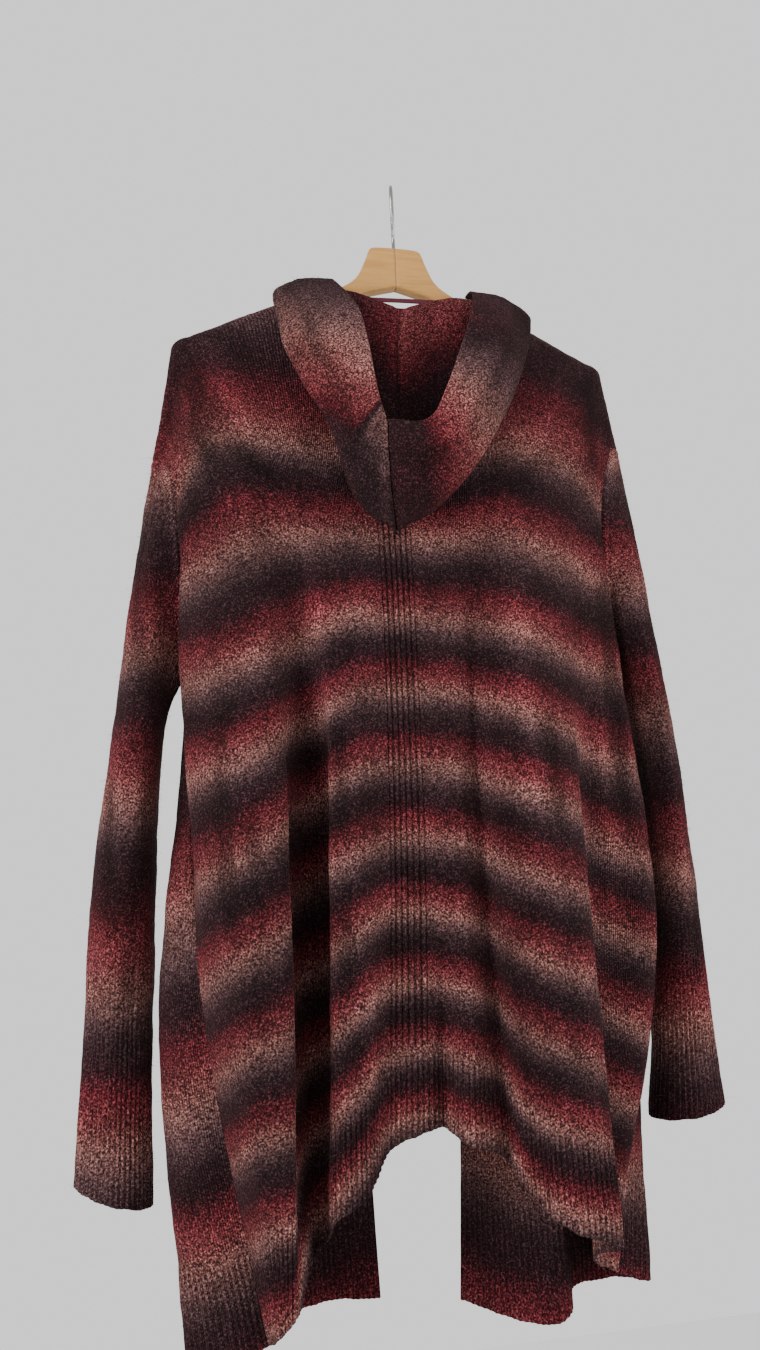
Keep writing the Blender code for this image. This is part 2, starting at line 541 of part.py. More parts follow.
def build_body(collection):
    back, left, right = back_and_fronts()
    rib_a, rib_b = RIB_LEFT * STEPS, RIB_RIGHT * STEPS
    neck_a, neck_b = NECK_LEFT * STEPS, NECK_RIGHT * STEPS
    surface = body_surface(back, left, right)
    sleeves = {
        "left": sleeve_grid("left", back[:UNDERARM + 1, 0], left[:UNDERARM + 1, 0], surface),
        "right": sleeve_grid("right", back[:UNDERARM + 1, -1], right[:UNDERARM + 1, 0], surface),
    }

    def beyond_side(sleeve, next_wale, from_back):
        ring = sleeve[1]
        half = UNDERARM
        edge = ring[:half + 1] if from_back else np.concatenate([ring[:1], ring[:half - 1:-1]])
        out = np.array(next_wale)
        out[:half] = edge[:half]
        return out

    above_back = np.array(back[0])
    above_back[:neck_a + 1] = left[1]
    above_back[neck_b:] = right[1][::-1]
    inner_neck = slice(neck_a + 1, neck_b)
    above_back[inner_neck] = 2 * back[0, inner_neck] - back[1, inner_neck]
    normals = grid_normals(
        back, above=above_back,
        before=beyond_side(sleeves["left"], left[:, 1], True),
        after=beyond_side(sleeves["right"], right[:, 1], True))
    normal_left = -grid_normals(
        left, above=back[1, :neck_a + 1],
        before=beyond_side(sleeves["left"], back[:, 1], False))
    normal_right = grid_normals(
        right, above=back[1, neck_b:][::-1],
        before=beyond_side(sleeves["right"], back[:, -2], False))
    normals = -normals if normals[8, rib_a, 1] > 0 else normals
    normal_left = -normal_left if normal_left[8, -2, 1] < 0 else normal_left
    normal_right = -normal_right if normal_right[8, -2, 1] < 0 else normal_right

    def panel(name, grid, facing, cols, edges, slot, counts=None):
        piece, out = grid[:-1, cols], facing[:-1, cols]
        piece = part_seams(piece, out, edges | {"bottom"})
        raised = None
        if counts is not None:
            piece, out, raised = ribbed(piece, out, counts)
        place(name, wall_mesh(name, piece, out, raised), slot, collection)

    def hem(name, grid, facing, cols, edges, slot):
        piece, out = grid[-2:, cols], facing[-2:, cols]
        piece = part_seams(piece, out, edges | {"top"})
        fine, out, raised = ribbed(piece, out, rib_counts(piece))
        place(name, wall_mesh(name, fine, out, raised), slot, collection)

    spine = slice(rib_a, rib_b + 1)
    west, east = slice(0, rib_a + 1), slice(rib_b, None)
    spine_counts = rib_counts(back[UNDERARM:UNDERARM + 1, spine])
    panel("back_left", back, normals, west, {"top", "first", "last"}, "knit_red")
    panel("back_rib_insert", back, normals, spine, {"top", "first", "last"}, "knit_dark", spine_counts)
    panel("back_right", back, normals, east, {"top", "first", "last"}, "knit_red")
    panel("front_left", left, normal_left, slice(None), {"top", "first"}, "knit_rose")
    panel("front_right", right, normal_right, slice(None), {"top", "first"}, "knit_rose")
    hem("hem_back_left", back, normals, west, {"first", "last"}, "knit_dark")
    hem("hem_back_centre", back, normals, spine, {"first", "last"}, "knit_dark")
    hem("hem_back_right", back, normals, east, {"first", "last"}, "knit_dark")
    hem("hem_front_left", left, normal_left, slice(None), {"first"}, "knit_red")
    hem("hem_front_right", right, normal_right, slice(None), {"first"}, "knit_red")

    for side, rings in sleeves.items():
        edge = 1 if side == "left" else -2
        front = left if side == "left" else right
        above = np.concatenate([
            back[:UNDERARM + 1, edge],
            front[UNDERARM - 1:0:-1, 1]])
        facing = grid_normals(rings, above=above, closed=True)
        outward = rings[8, 0, 0] - rings[8, UNDERARM, 0]
        if facing[8, 0, 0] * outward < 0:
            facing = -facing
        tube = part_seams(rings[:-1], facing[:-1], {"top", "bottom"})
        tube[0] += unit(tube[1] - tube[0]) * underarm_room()
        place("sleeve_" + side, wall_mesh("sleeve_" + side, tube, facing[:-1], closed=True),
              "knit_red", collection)
        cuff = part_seams(rings[-2:], facing[-2:], {"top"})
        fine, out, raised = ribbed(cuff, facing[-2:], rib_counts(cuff, closed=True))
        place("cuff_" + side, wall_mesh("cuff_" + side, fine, out, raised, closed=True),
              "knit_dark", collection)


def neck_row(side):
    """The hood's neck seam: over the back neck and on to the shoulder."""
    out = []
    for d in NECK_STEPS["left" if side < 0 else "right"]:
        out.append(over_arm(side * d, -1)[0] + np.array([0.0, 0.0, HOOD_LIFT + 0.03 * max(d - 0.053, 0.0)]))
    out.append(shoulder(side * NECK_HALF)[0] + np.array([side * 0.0020, -0.0025, 0.0070]))
    return np.array(out)


def build_hood(collection):
    for side, table in HOOD_ROWS.items():
        sewn = neck_row(-1.0 if side == "left" else 1.0)
        grid = refine_grid([row[1:] for row in table], HOOD_STEPS, sewn)
        mirrored = grid * np.array([-1.0, 1.0, 1.0])
        seam_x = grid[:, 0, 0]
        other = mirrored[:, 1] + np.stack([2 * seam_x, 0 * seam_x, 0 * seam_x], axis=1)
        crown_x = grid[-1, :, 0]
        over = mirrored[-2] + np.stack([2 * crown_x, 0 * crown_x, 0 * crown_x], axis=1)
        facing = grid_normals(grid, before=other, below=over)
        if facing[-2, -2, 1] > 0:
            facing = -facing
        split = grid.shape[1] - BAND_COLUMNS
        nape = part_seams(grid[:, :split], facing[:, :split], {"first", "last", "bottom"})
        band = part_seams(grid[:, split - 1:], facing[:, split - 1:], {"first", "bottom"})
        place("hood_" + side, wall_mesh("hood_" + side, nape, facing[:, :split]), "knit_rose", collection)
        place("hood_band_" + side, wall_mesh("hood_band_" + side, band, facing[:, split - 1:]),
              "knit_dark", collection)


def build_tape(collection):
    """The narrow ribbon straight across the back of the neck."""
    share = np.linspace(-1.0, 1.0, 9)
    columns = np.stack([0.058 * share, -0.0078 + 0.0016 * share ** 2, -0.1310 + 0.002 * share], axis=1)
    twist = radians(20) * (1 - share ** 2)
    across = np.stack([0 * twist, -np.sin(twist), -np.cos(twist)], axis=1) * TAPE_WIDTH / 2
    grid = np.array([columns - across, columns + across])
    facing = grid_normals(grid)
    place("neck_tape", wall_mesh("neck_tape", grid, facing, thick=TAPE_THICK), "tape", collection)


# ---------------------------------------------------------------- hanger ---
def arm_ring(out, top, bottom, side, thick):
    """Chamfered section of a wooden arm at one distance from the middle."""
    half, cut = thick / 2, WOOD_CHAMFER
    corners = ((-half, bottom + cut), (-half, top - cut), (-half + cut, top), (half - cut, top),
               (half, top - cut), (half, bottom + cut), (half - cut, bottom), (-half + cut, bottom))
    return [np.array([side * out, arm_depth(out) + y, z]) for y, z in corners]


def build_arm(side_name, side, collection):
    rings = [arm_ring(out, top, bottom, side, WOOD_THICK) for out, top, bottom in ARM_OUTLINE]
    out, top, bottom = ARM_OUTLINE[-1]
    rings.append(arm_ring(out + 0.004, top - 0.003, bottom + 0.002, side, WOOD_THICK - 0.005))
    bm = bmesh.new()
    loops = [[bm.verts.new(p) for p in ring] for ring in rings]
    for a, b in zip(loops, loops[1:]):
        for i in range(len(a)):
            n = (i + 1) % len(a)
            bm.faces.new((a[i], a[n], b[n], b[i]))
    bm.faces.new(loops[0])
    bm.faces.new(loops[-1])
    bmesh.ops.recalc_face_normals(bm, faces=bm.faces)
    mesh = bpy.data.meshes.new("hanger_arm_" + side_name)
    bm.to_mesh(mesh)
    bm.free()
    place("hanger_arm_" + side_name, mesh, "wood", collection, smooth=False)


def build_hook(collection):
    """Bent wire: a stem out of the wood, a shoulder bend and an open loop."""
    middle = HOOK_LOOP + HOOK_WIRE
    stem = [(0.0, ARM_OUTLINE[0][1] + SEAM), (0.0, -0.058), (-0.004, -0.050), (-0.013, -0.040)]
    start, stop, count = radians(205), radians(-35), 18
    loop = [(middle * cos(start + (stop - start) * i / count),
             middle * sin(start + (stop - start) * i / count) - HOOK_LOOP) for i in range(count + 1)]
    curve = bpy.data.curves.new("hanger_hook", "CURVE")
    curve.dimensions = "3D"
    curve.bevel_depth = HOOK_WIRE
    curve.bevel_resolution = 2
    curve.use_fill_caps = True
    spline = curve.splines.new("POLY")
    spline.points.add(len(stem + loop) - 1)
    for point, (u, z) in zip(spline.points, stem + loop):
        point.co = (u * cos(HOOK_TURN), u * sin(HOOK_TURN), z, 1.0)
    obj = bpy.data.objects.new("hanger_hook", curve)
    curve.materials.append(material("steel").copy())
    collection.objects.link(obj)


def main():
    clear_scene()
    garment = bpy.data.collections.new("hooded_cardigan_on_hanger")
    bpy.context.scene.collection.children.link(garment)
    build_arm("left", -1.0, garment)
    build_arm("right", 1.0, garment)
    build_hook(garment)
    build_tape(garment)
    build_body(garment)
    build_hood(garment)


main()
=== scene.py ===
"""Looks of the hooded cardigan on its wooden hanger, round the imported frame.

Metres, +Z up.  The origin is the inner top of the steel hook, +X is the right
side seen from behind, and the two fronts are on the +Y side.
Each knitted piece is a thin shell on the same courses and fold lines as its
solid, with finer columns, real ribs, creases, stitches and stripes.
"""
import bpy
import numpy as np
from math import atan2, cos, pi, radians, sin
from mathutils import Matrix, Vector, noise
from mathutils.bvhtree import BVHTree


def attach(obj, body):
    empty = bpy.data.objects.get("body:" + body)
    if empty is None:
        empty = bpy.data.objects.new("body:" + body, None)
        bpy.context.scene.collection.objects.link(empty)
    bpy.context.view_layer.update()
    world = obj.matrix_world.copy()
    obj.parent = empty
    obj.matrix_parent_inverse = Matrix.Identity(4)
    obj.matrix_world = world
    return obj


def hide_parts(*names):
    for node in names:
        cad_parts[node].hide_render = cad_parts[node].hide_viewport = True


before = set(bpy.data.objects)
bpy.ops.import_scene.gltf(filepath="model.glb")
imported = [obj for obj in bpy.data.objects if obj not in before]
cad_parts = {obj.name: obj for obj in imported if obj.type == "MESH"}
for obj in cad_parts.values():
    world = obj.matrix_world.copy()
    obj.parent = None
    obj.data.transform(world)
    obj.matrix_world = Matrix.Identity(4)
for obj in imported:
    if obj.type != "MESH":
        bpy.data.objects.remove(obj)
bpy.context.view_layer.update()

# ---------------------------------------------------------------- sizes ----
KNIT = 0.0024            # thickness of the knitted cloth
RIB_PITCH = 0.0048       # one rib and its groove
RIB_RAISE = 0.0016       # height of a rib over its groove
RIB_COLUMNS = 4          # columns to each rib
NECK_HALF = 0.088        # half of the neck opening on top of the arms
NECK_INNER = 0.072       # here the neck edge has turned behind the arm
NECK_SAG = 0.038         # drop of the back neck between the hanger arms
NECK_DEPTH = -0.0130     # the back neck hangs behind the hanger
SHOULDER_Z = -0.1270     # cloth over the hanger beside the neck
SHOULDER_SLOPE = 0.385   # fall of the hanger arm for each metre outwards
SHOULDER_RUN = 0.139     # cloth that lies along the arm
CORNER_RADIUS = 0.014    # round of the cloth over the arm's end
DROP_LEAN = 0.14         # lean outwards of the dropped shoulder
ARM_WRAP = 0.0102        # half width of the cloth's turn over the arm
ARM_CURVE = 0.022        # the hanger's ends bend this far towards the front

WOOD_THICK = 0.013
WOOD_ROUND = 0.003       # rounding along the wood's edges
HOOK_WIRE = 0.0018       # radius of the hook's wire
HOOK_LOOP = 0.0180       # inner radius of the hook's loop
HOOK_TURN = radians(76)  # the loop's plane, turned from +X towards +Y
TAPE_WIDTH = 0.0060
TAPE_THICK = 0.0008

# Courses at which the fold tables give positions, as a share of the length.
YOKE, CHEST, WAIST = 0.154, 0.335, 0.606
LEVELS = (0.0, YOKE, CHEST, WAIST, 1.0)
RIB_TOP = 0.885          # the hem rib starts here
WRAP_COURSE = 0.018      # the cloth has turned over the arm here
ARMHOLE_COURSES = (0.0, 0.006, 0.012, 0.018, 0.05, 0.09, 0.13, 0.18, 0.235, 0.285, CHEST)

# One row for each fold line of the back, from the left side to the right:
# its place along the shoulder, then x, y, z at yoke, chest, waist and hem.
BACK_FOLDS = (
    # name, place along the shoulder, yoke, chest,
    # waist, hem
    ("seam_left",   -0.361, (-0.222, -0.006, -0.352), (-0.2100, 0.030, -0.520),
     (-0.198, -0.022, -0.800), (-0.1445, -0.016, -1.074)),
    ("side_left",   -0.330, (-0.214, -0.014, -0.334), (-0.2150, 0.000, -0.526),
     (-0.187, -0.050, -0.790), (-0.1420, -0.030, -1.068)),
    ("roll_left",   -0.296, (-0.205, -0.017, -0.312), (-0.180, -0.036, -0.522),
     (-0.165, -0.074, -0.773), (-0.1385, -0.046, -1.058)),
    ("lip_left",    -0.262, (-0.195, -0.019, -0.297), (-0.141, -0.040, -0.507),
     (-0.128, -0.070, -0.756), (-0.1290, -0.055, -1.046)),
    ("under_left",  -0.236, (-0.178, -0.020, -0.290), (-0.127, -0.030, -0.500),
     (-0.132, -0.034, -0.742), (-0.1210, -0.038, -1.036)),
    ("valley_left", -0.214, (-0.160, -0.020, -0.290), (-0.110, -0.022, -0.494),
     (-0.108, 0.004, -0.728), (-0.1080, -0.012, -1.016)),
    ("tuck_left",   -0.190, (-0.142, -0.020, -0.293), (-0.098, -0.029, -0.489),
     (-0.082, -0.018, -0.712), (-0.0960, -0.026, -0.998)),
    ("ridge_left",  -0.150, (-0.120, -0.020, -0.297), (-0.088, -0.036, -0.485),
     (-0.090, -0.053, -0.703), (-0.0940, -0.048, -0.980)),
    ("flat_left",   -0.088, (-0.086, -0.020, -0.306), (-0.066, -0.037, -0.482),
     (-0.068, -0.058, -0.691), (-0.0700, -0.054, -0.964)),
    ("neck_left",   -0.072, (-0.068, -0.019, -0.308), (-0.055, -0.0365, -0.480),
     (-0.058, -0.055, -0.687), (-0.0620, -0.051, -0.954)),
    ("rib_left",    -0.034, (-0.034, -0.018, -0.312), (-0.033, -0.034, -0.477),
     (-0.037, -0.045, -0.678), (-0.0450, -0.040, -0.931)),
    ("rib_right",   0.002, (0.000, -0.018, -0.312), (-0.002, -0.034, -0.475),
     (-0.005, -0.045, -0.678), (-0.0110, -0.040, -0.919)),
    ("step_in",     0.020, (0.016, -0.018, -0.310), (0.012, -0.035, -0.476),
     (0.010, -0.045, -0.680), (0.0050, -0.032, -0.919)),
    ("step_out",    0.040, (0.034, -0.018, -0.307), (0.030, -0.036, -0.477),
     (0.028, -0.048, -0.681), (0.0160, -0.056, -0.927)),
    ("neck_right",  0.072, (0.062, -0.0185, -0.301), (0.043, -0.0345, -0.478),
     (0.040, -0.042, -0.685), (0.0380, -0.050, -0.936)),
    ("crease",      0.088, (0.078, -0.019, -0.296), (0.054, -0.032, -0.479),
     (0.051, -0.038, -0.689), (0.0580, -0.039, -0.949)),
    ("rise_right",  0.128, (0.104, -0.020, -0.289), (0.073, -0.044, -0.481),
     (0.064, -0.060, -0.698), (0.0710, -0.060, -0.974)),
    ("roll_right",  0.170, (0.134, -0.020, -0.291), (0.106, -0.047, -0.490),
     (0.093, -0.078, -0.712), (0.0950, -0.078, -0.994)),
    ("lip_right",   0.206, (0.160, -0.019, -0.300), (0.142, -0.040, -0.505),
     (0.132, -0.070, -0.723), (0.1370, -0.076, -1.011)),
    ("under_right", 0.230, (0.174, -0.017, -0.309), (0.156, -0.026, -0.504),
     (0.137, -0.034, -0.728), (0.1260, -0.048, -1.024)),
    ("valley_right", 0.254, (0.186, -0.015, -0.322), (0.174, -0.016, -0.509),
     (0.160, -0.008, -0.745), (0.1330, -0.026, -1.038)),
    ("side_right",  0.290, (0.196, -0.013, -0.340), (0.2130, 0.000, -0.512),
     (0.222, -0.006, -0.772), (0.1480, -0.014, -1.047)),
    ("seam_right",  0.326, (0.204, -0.006, -0.350), (0.2100, 0.030, -0.500),
     (0.221, 0.024, -0.778), (0.1600, -0.004, -1.056)),
)
RIB_LEFT = [row[0] for row in BACK_FOLDS].index("rib_left")
RIB_RIGHT = RIB_LEFT + 1
NECK_LEFT = [row[0] for row in BACK_FOLDS].index("flat_left")
NECK_RIGHT = [row[0] for row in BACK_FOLDS].index("crease")

# The fronts, each from its side seam to its free front edge.  The first row
# follows the back's side seam, so only its armhole differs from the back's.
LEFT_FRONT_FOLDS = (
    # name, yoke, chest,
    # waist, hem
    ("seam",       (-0.225, 0.050, -0.358), (-0.2100, 0.030, -0.520),
     (-0.198, -0.022, -0.800), (-0.1445, -0.016, -1.074)),
    ("near",       (-0.218, 0.055, -0.340), (-0.2120, 0.046, -0.525),
     (-0.221, -0.012, -0.806), (-0.1720, -0.014, -1.085)),
    ("side",       (-0.205, 0.056, -0.318), (-0.205, 0.058, -0.520),
     (-0.2325, 0.008, -0.806), (-0.2040, 0.000, -1.092)),
    ("turn",       (-0.190, 0.054, -0.303), (-0.188, 0.062, -0.512),
     (-0.226, 0.034, -0.800), (-0.2060, 0.026, -1.090)),
    ("far_a",      (-0.172, 0.052, -0.296), (-0.170, 0.058, -0.505),
     (-0.198, 0.052, -0.790), (-0.1840, 0.042, -1.084)),
    ("far_b",      (-0.155, 0.050, -0.292), (-0.150, 0.056, -0.497),
     (-0.168, 0.046, -0.775), (-0.1560, 0.036, -1.078)),
    ("far_c",      (-0.138, 0.048, -0.290), (-0.130, 0.060, -0.488),
     (-0.138, 0.050, -0.758), (-0.1280, 0.034, -1.072)),
    ("far_d",      (-0.116, 0.044, -0.286), (-0.106, 0.060, -0.476),
     (-0.102, 0.060, -0.738), (-0.0860, 0.048, -1.071)),
    ("edge",       (-0.084, 0.040, -0.280), (-0.072, 0.056, -0.455),
     (-0.058, 0.056, -0.712), (-0.0420, 0.050, -1.074)),
)
RIGHT_FRONT_FOLDS = (
    # name, yoke, chest,
    # waist, hem
    ("seam",       (0.206, 0.050, -0.352), (0.2100, 0.030, -0.500),
     (0.221, 0.024, -0.778), (0.1600, -0.004, -1.056)),
    ("side",       (0.196, 0.057, -0.328), (0.2040, 0.054, -0.505),
     (0.219, 0.050, -0.778), (0.1960, 0.010, -1.071)),
    ("turn",       (0.182, 0.055, -0.312), (0.184, 0.061, -0.500),
     (0.190, 0.058, -0.770), (0.1900, 0.034, -1.076)),
    ("far",        (0.170, 0.053, -0.300), (0.166, 0.058, -0.494),
     (0.166, 0.056, -0.762), (0.1660, 0.046, -1.078)),
    ("bend",       (0.150, 0.050, -0.292), (0.146, 0.057, -0.488),
     (0.142, 0.046, -0.755), (0.1320, 0.034, -1.079)),
    ("bulge",      (0.128, 0.046, -0.288), (0.124, 0.060, -0.482),
     (0.120, 0.028, -0.748), (0.1160, 0.002, -1.089)),
    ("ebb",        (0.106, 0.042, -0.286), (0.100, 0.060, -0.472),
     (0.092, 0.040, -0.735), (0.0880, 0.010, -1.094)),
    ("edge",       (0.080, 0.038, -0.280), (0.070, 0.056, -0.455),
     (0.054, 0.056, -0.714), (0.0330, 0.050, -1.084)),
)

# One row for each section of a sleeve, down from the dropped shoulder.
SLEEVE_SECTIONS = {
    "left": (
        # along, outer x, outer z, inner x, inner z, middle y, half depth
        (0.00, -0.245, -0.315, -0.208, -0.520, 0.030, 0.030),
        (0.18, -0.259, -0.410, -0.230, -0.570, 0.030, 0.034),
        (0.42, -0.276, -0.565, -0.238, -0.660, 0.032, 0.040),
        (0.68, -0.293, -0.720, -0.240, -0.790, 0.032, 0.036),
        (0.86, -0.296, -0.850, -0.242, -0.895, 0.030, 0.030),
        (1.00, -0.301, -0.953, -0.240, -0.974, 0.028, 0.031),
    ),
    "right": (
        (0.00, 0.236, -0.281, 0.208, -0.500, 0.030, 0.030),
        (0.18, 0.250, -0.380, 0.228, -0.550, 0.030, 0.034),
        (0.42, 0.268, -0.545, 0.2385, -0.640, 0.032, 0.040),
        (0.68, 0.281, -0.700, 0.239, -0.770, 0.032, 0.036),
        (0.86, 0.285, -0.830, 0.233, -0.870, 0.030, 0.030),
        (1.00, 0.289, -0.930, 0.222, -0.940, 0.028, 0.031),
    ),
}
CUFF_TOP = 0.86
SLEEVE_ROOM = 0.0022     # least room between a sleeve and the body beside it
SLEEVE_SETTLE = 0.30     # the armhole's outline turns into the tube by here
SLEEVE_GAIN = 0.10       # the room beside the body is full from here

# Each hood half is a panel: columns run from its nape seam to its face edge,
# rows from the neckline, over the roll and down, to the seam over the crown.
HOOD_ROWS = {
    "left": (
        # name, nape, quarter, middle,
        # cheek, face edge
        ("neck", (0.000, -0.0130, -0.1670), (-0.053, -0.0100, -0.1480), (-0.122, 0.004, -0.1330),
         (-0.102, 0.007, -0.1165), (-0.074, 0.008, -0.1105)),
        ("roll", (-0.001, -0.0240, -0.152), (-0.056, -0.0260, -0.137), (-0.125, -0.011, -0.1350),
         (-0.105, -0.009, -0.1190), (-0.071, -0.007, -0.1145)),
        ("nape", (-0.008, -0.034, -0.200), (-0.064, -0.035, -0.182), (-0.127, -0.026, -0.156),
         (-0.107, -0.027, -0.135), (-0.066, -0.024, -0.1285)),
        ("ear", (-0.011, -0.040, -0.265), (-0.062, -0.041, -0.245), (-0.117, -0.046, -0.222),
         (-0.094, -0.062, -0.198), (-0.050, -0.058, -0.178)),
        ("brow", (-0.016, -0.045, -0.335), (-0.052, -0.046, -0.312), (-0.081, -0.060, -0.298),
         (-0.064, -0.078, -0.284), (-0.040, -0.079, -0.268)),
        ("pouch", (-0.018, -0.046, -0.380), (-0.052, -0.053, -0.374), (-0.066, -0.068, -0.345),
         (-0.054, -0.084, -0.318), (-0.037, -0.086, -0.290)),
        ("crown", (-0.0212, -0.057, -0.403), (-0.027, -0.075, -0.394), (-0.0315, -0.085, -0.366),
         (-0.0335, -0.089, -0.334), (-0.0335, -0.089, -0.304)),
    ),
    "right": (
        ("neck", (0.000, -0.0130, -0.1670), (0.056, -0.0100, -0.1480), (0.126, 0.004, -0.1345),
         (0.106, 0.007, -0.1180), (0.078, 0.008, -0.1115)),
        ("roll", (-0.001, -0.0240, -0.152), (0.058, -0.0260, -0.136), (0.130, -0.011, -0.1370),
         (0.110, -0.009, -0.1205), (0.078, -0.007, -0.1155)),
        ("nape", (-0.008, -0.034, -0.200), (0.060, -0.035, -0.182), (0.134, -0.026, -0.160),
         (0.115, -0.027, -0.139), (0.076, -0.024, -0.1300)),
        ("ear", (-0.011, -0.040, -0.265), (0.046, -0.041, -0.252), (0.110, -0.047, -0.232),
         (0.094, -0.063, -0.198), (0.060, -0.060, -0.178)),
        ("brow", (-0.016, -0.045, -0.335), (0.026, -0.047, -0.330), (0.078, -0.062, -0.296),
         (0.060, -0.080, -0.268), (0.028, -0.080, -0.262)),
        ("pouch", (-0.018, -0.046, -0.380), (0.014, -0.054, -0.376), (0.038, -0.069, -0.346),
         (0.026, -0.085, -0.318), (0.006, -0.087, -0.300)),
        ("crown", (-0.0198, -0.057, -0.403), (-0.026, -0.075, -0.394), (-0.0305, -0.085, -0.366),
         (-0.0325, -0.089, -0.334), (-0.0325, -0.089, -0.304)),
    ),
}
HOOD_LIFT = 0.0022       # the hood starts this far over the neck edge
HOOD_SPLIT = 3           # the face band starts at this column of the table
# Where the hood's first columns meet the back neck, out from the middle.
NECK_STEPS = {
    "left": (0.0, 0.017, 0.034, 0.053, 0.072),
    "right": (0.0, 0.020, 0.040, 0.056, 0.072),
}

# The hanger's outline, from its mitred middle to the rounded end of an arm.
ARM_OUTLINE = (
    # out,   top,    bottom
    (0.0002, -0.0690, -0.1140),
    (0.0130, -0.0690, -0.1175),
    (0.0235, -0.0700, -0.1205),
    (0.0275, -0.0735, -0.1215),
    (0.0320, -0.0860, -0.1230),
    (0.0420, -0.1060, -0.1280),
    (0.0600, -0.1190, -0.1360),
    (0.0880, -0.1322, -0.1495),
    (0.1450, -0.1530, -0.1720),
    (0.1950, -0.1722, -0.1900),
    (0.2100, -0.1800, -0.1925),
)


# Stripe numbers: 0 is the tan course, then down through grey, charcoal,
# maroon, red and salmon to 1, the next tan course.
STRIPE_STEP = 0.05       # the charts count in twentieths of a repeat
# How far the back's stripes hang off level, at some of its fold lines.
SAG_COURSES = (0.12, 0.19, CHEST, 0.45, WAIST, 0.80, 1.0)
BACK_SAG = {
    # fold line: top, yoke, chest, ribs, waist, seat, hem
    "seam_left": (0, -2, -2, -1, 1, -1, -4),
    "roll_left": (0, -2, -1, 1, 1, 0, -6),
    "lip_left": (0, -1, -1, 3, 2, -4, -7),
    "under_left": (0, -1, -1, 3, 2, -1, 0),
    "valley_left": (0, -1, 0, 3, 3, 0, 2),
    "ridge_left": (0, 0, 0, 1, 1, -2, -3),
    "flat_left": (0, 1, 2, 2, 1, 0, 1),
    "neck_left": (0, 2, 2, 2, 1, 1, 1),
    "rib_left": (0, 1, 1, 1, 0, -2, -1),
    "step_in": (0, 0, 0, 1, 0, -4, -4),
    "crease": (0, 0, 0, 1, -1, -3, -2),
    "rise_right": (0, -1, -1, 0, -1, -4, -4),
    "roll_right": (0, -2, -1, 0, -1, -3, -3),
    "lip_right": (0, -2, -1, 0, -2, -5, -2),
    "side_right": (0, -1, -2, -3, -3, -6, -6),
}
# Stripe number against the height over the yoke's line.
YOKE_STRIPES = ((0.0, 0.037, 0.097, 0.127, 0.150), (0.0, -0.24, -0.55, -0.70, -0.80))
BACK_RATE = 11.05
FRONT_TAN = {"left": 0.726, "right": 0.897}      # course of one tan stripe
FRONT_RATE = {"left": 5.53, "right": 5.60}
FRONT_DRIFT = {"left": (0.08, 0.01, 0.22), "right": (0.05, 0.05, 0.20)}
# Heights on the sleeves, and the stripe number there.
SLEEVE_STRIPES = {
    "left": ((-0.335, 0.0), (-0.504, 1.0), (-0.549, 1.42), (-0.582, 1.64), (-0.638, 2.0),
             (-0.693, 2.45), (-0.748, 2.70), (-0.800, 3.0), (-0.921, 4.0)),
    "right": ((-0.285, 0.0), (-0.427, 1.0), (-0.559, 2.0), (-0.716, 3.0), (-0.860, 4.0)),
}
SLEEVE_REPEAT_HIGH, SLEEVE_REPEAT_LOW = 0.140, 0.145     # one repeat beyond those heights
# Stripe numbers on the hood, in twentieths, by place between HOOD_ROWS.
HOOD_STRIPE_COLUMNS = (0.0, 1.0, 2.0, 2.5, 3.0, 4.0)
HOOD_STRIPES = {
    "left": (
        # row, from the nape to the face edge
        (1.0, -6, -9, 4, 4, 7, 9),
        (2.0, -6, -9, 3, 4, 6, 8),
        (2.5, -8, -10, 3, 1, 4, 6),
        (3.0, -12, -11, -1, -1, 3, 4),
        (3.5, -12, -11, -6, -3, -2, 1),
        (4.0, -11, -11, -11, -8, -4, -2),
        (4.5, -11, -11, -11, -12, -6, -2),
        (5.0, -12, -12, -12, -13, -16, -18),
        (6.0, -13, -13, -14, -16, -17, -18),
    ),
    "right": (
        (1.0, -3, -4, 8, 8, 9, 10),
        (2.0, -4, -6, 8, 8, 9, 10),
        (2.5, -6, -10, 7, 8, 9, 10),
        (3.0, -12, -10, 6, 6, 9, 11),
        (3.5, -12, -9, 5, 4, 5, 4),
        (4.0, -12, -8, 0, 1, 1, -1),
        (4.5, -11, -7, -2, -1, -2, -3),
        (5.0, -10, -9, -4, -4, -5, -6),
        (5.5, -10, -10, -9, -9, -10, -12),
        (6.0, -11, -10, -10, -10, -10, -11),
    ),
}
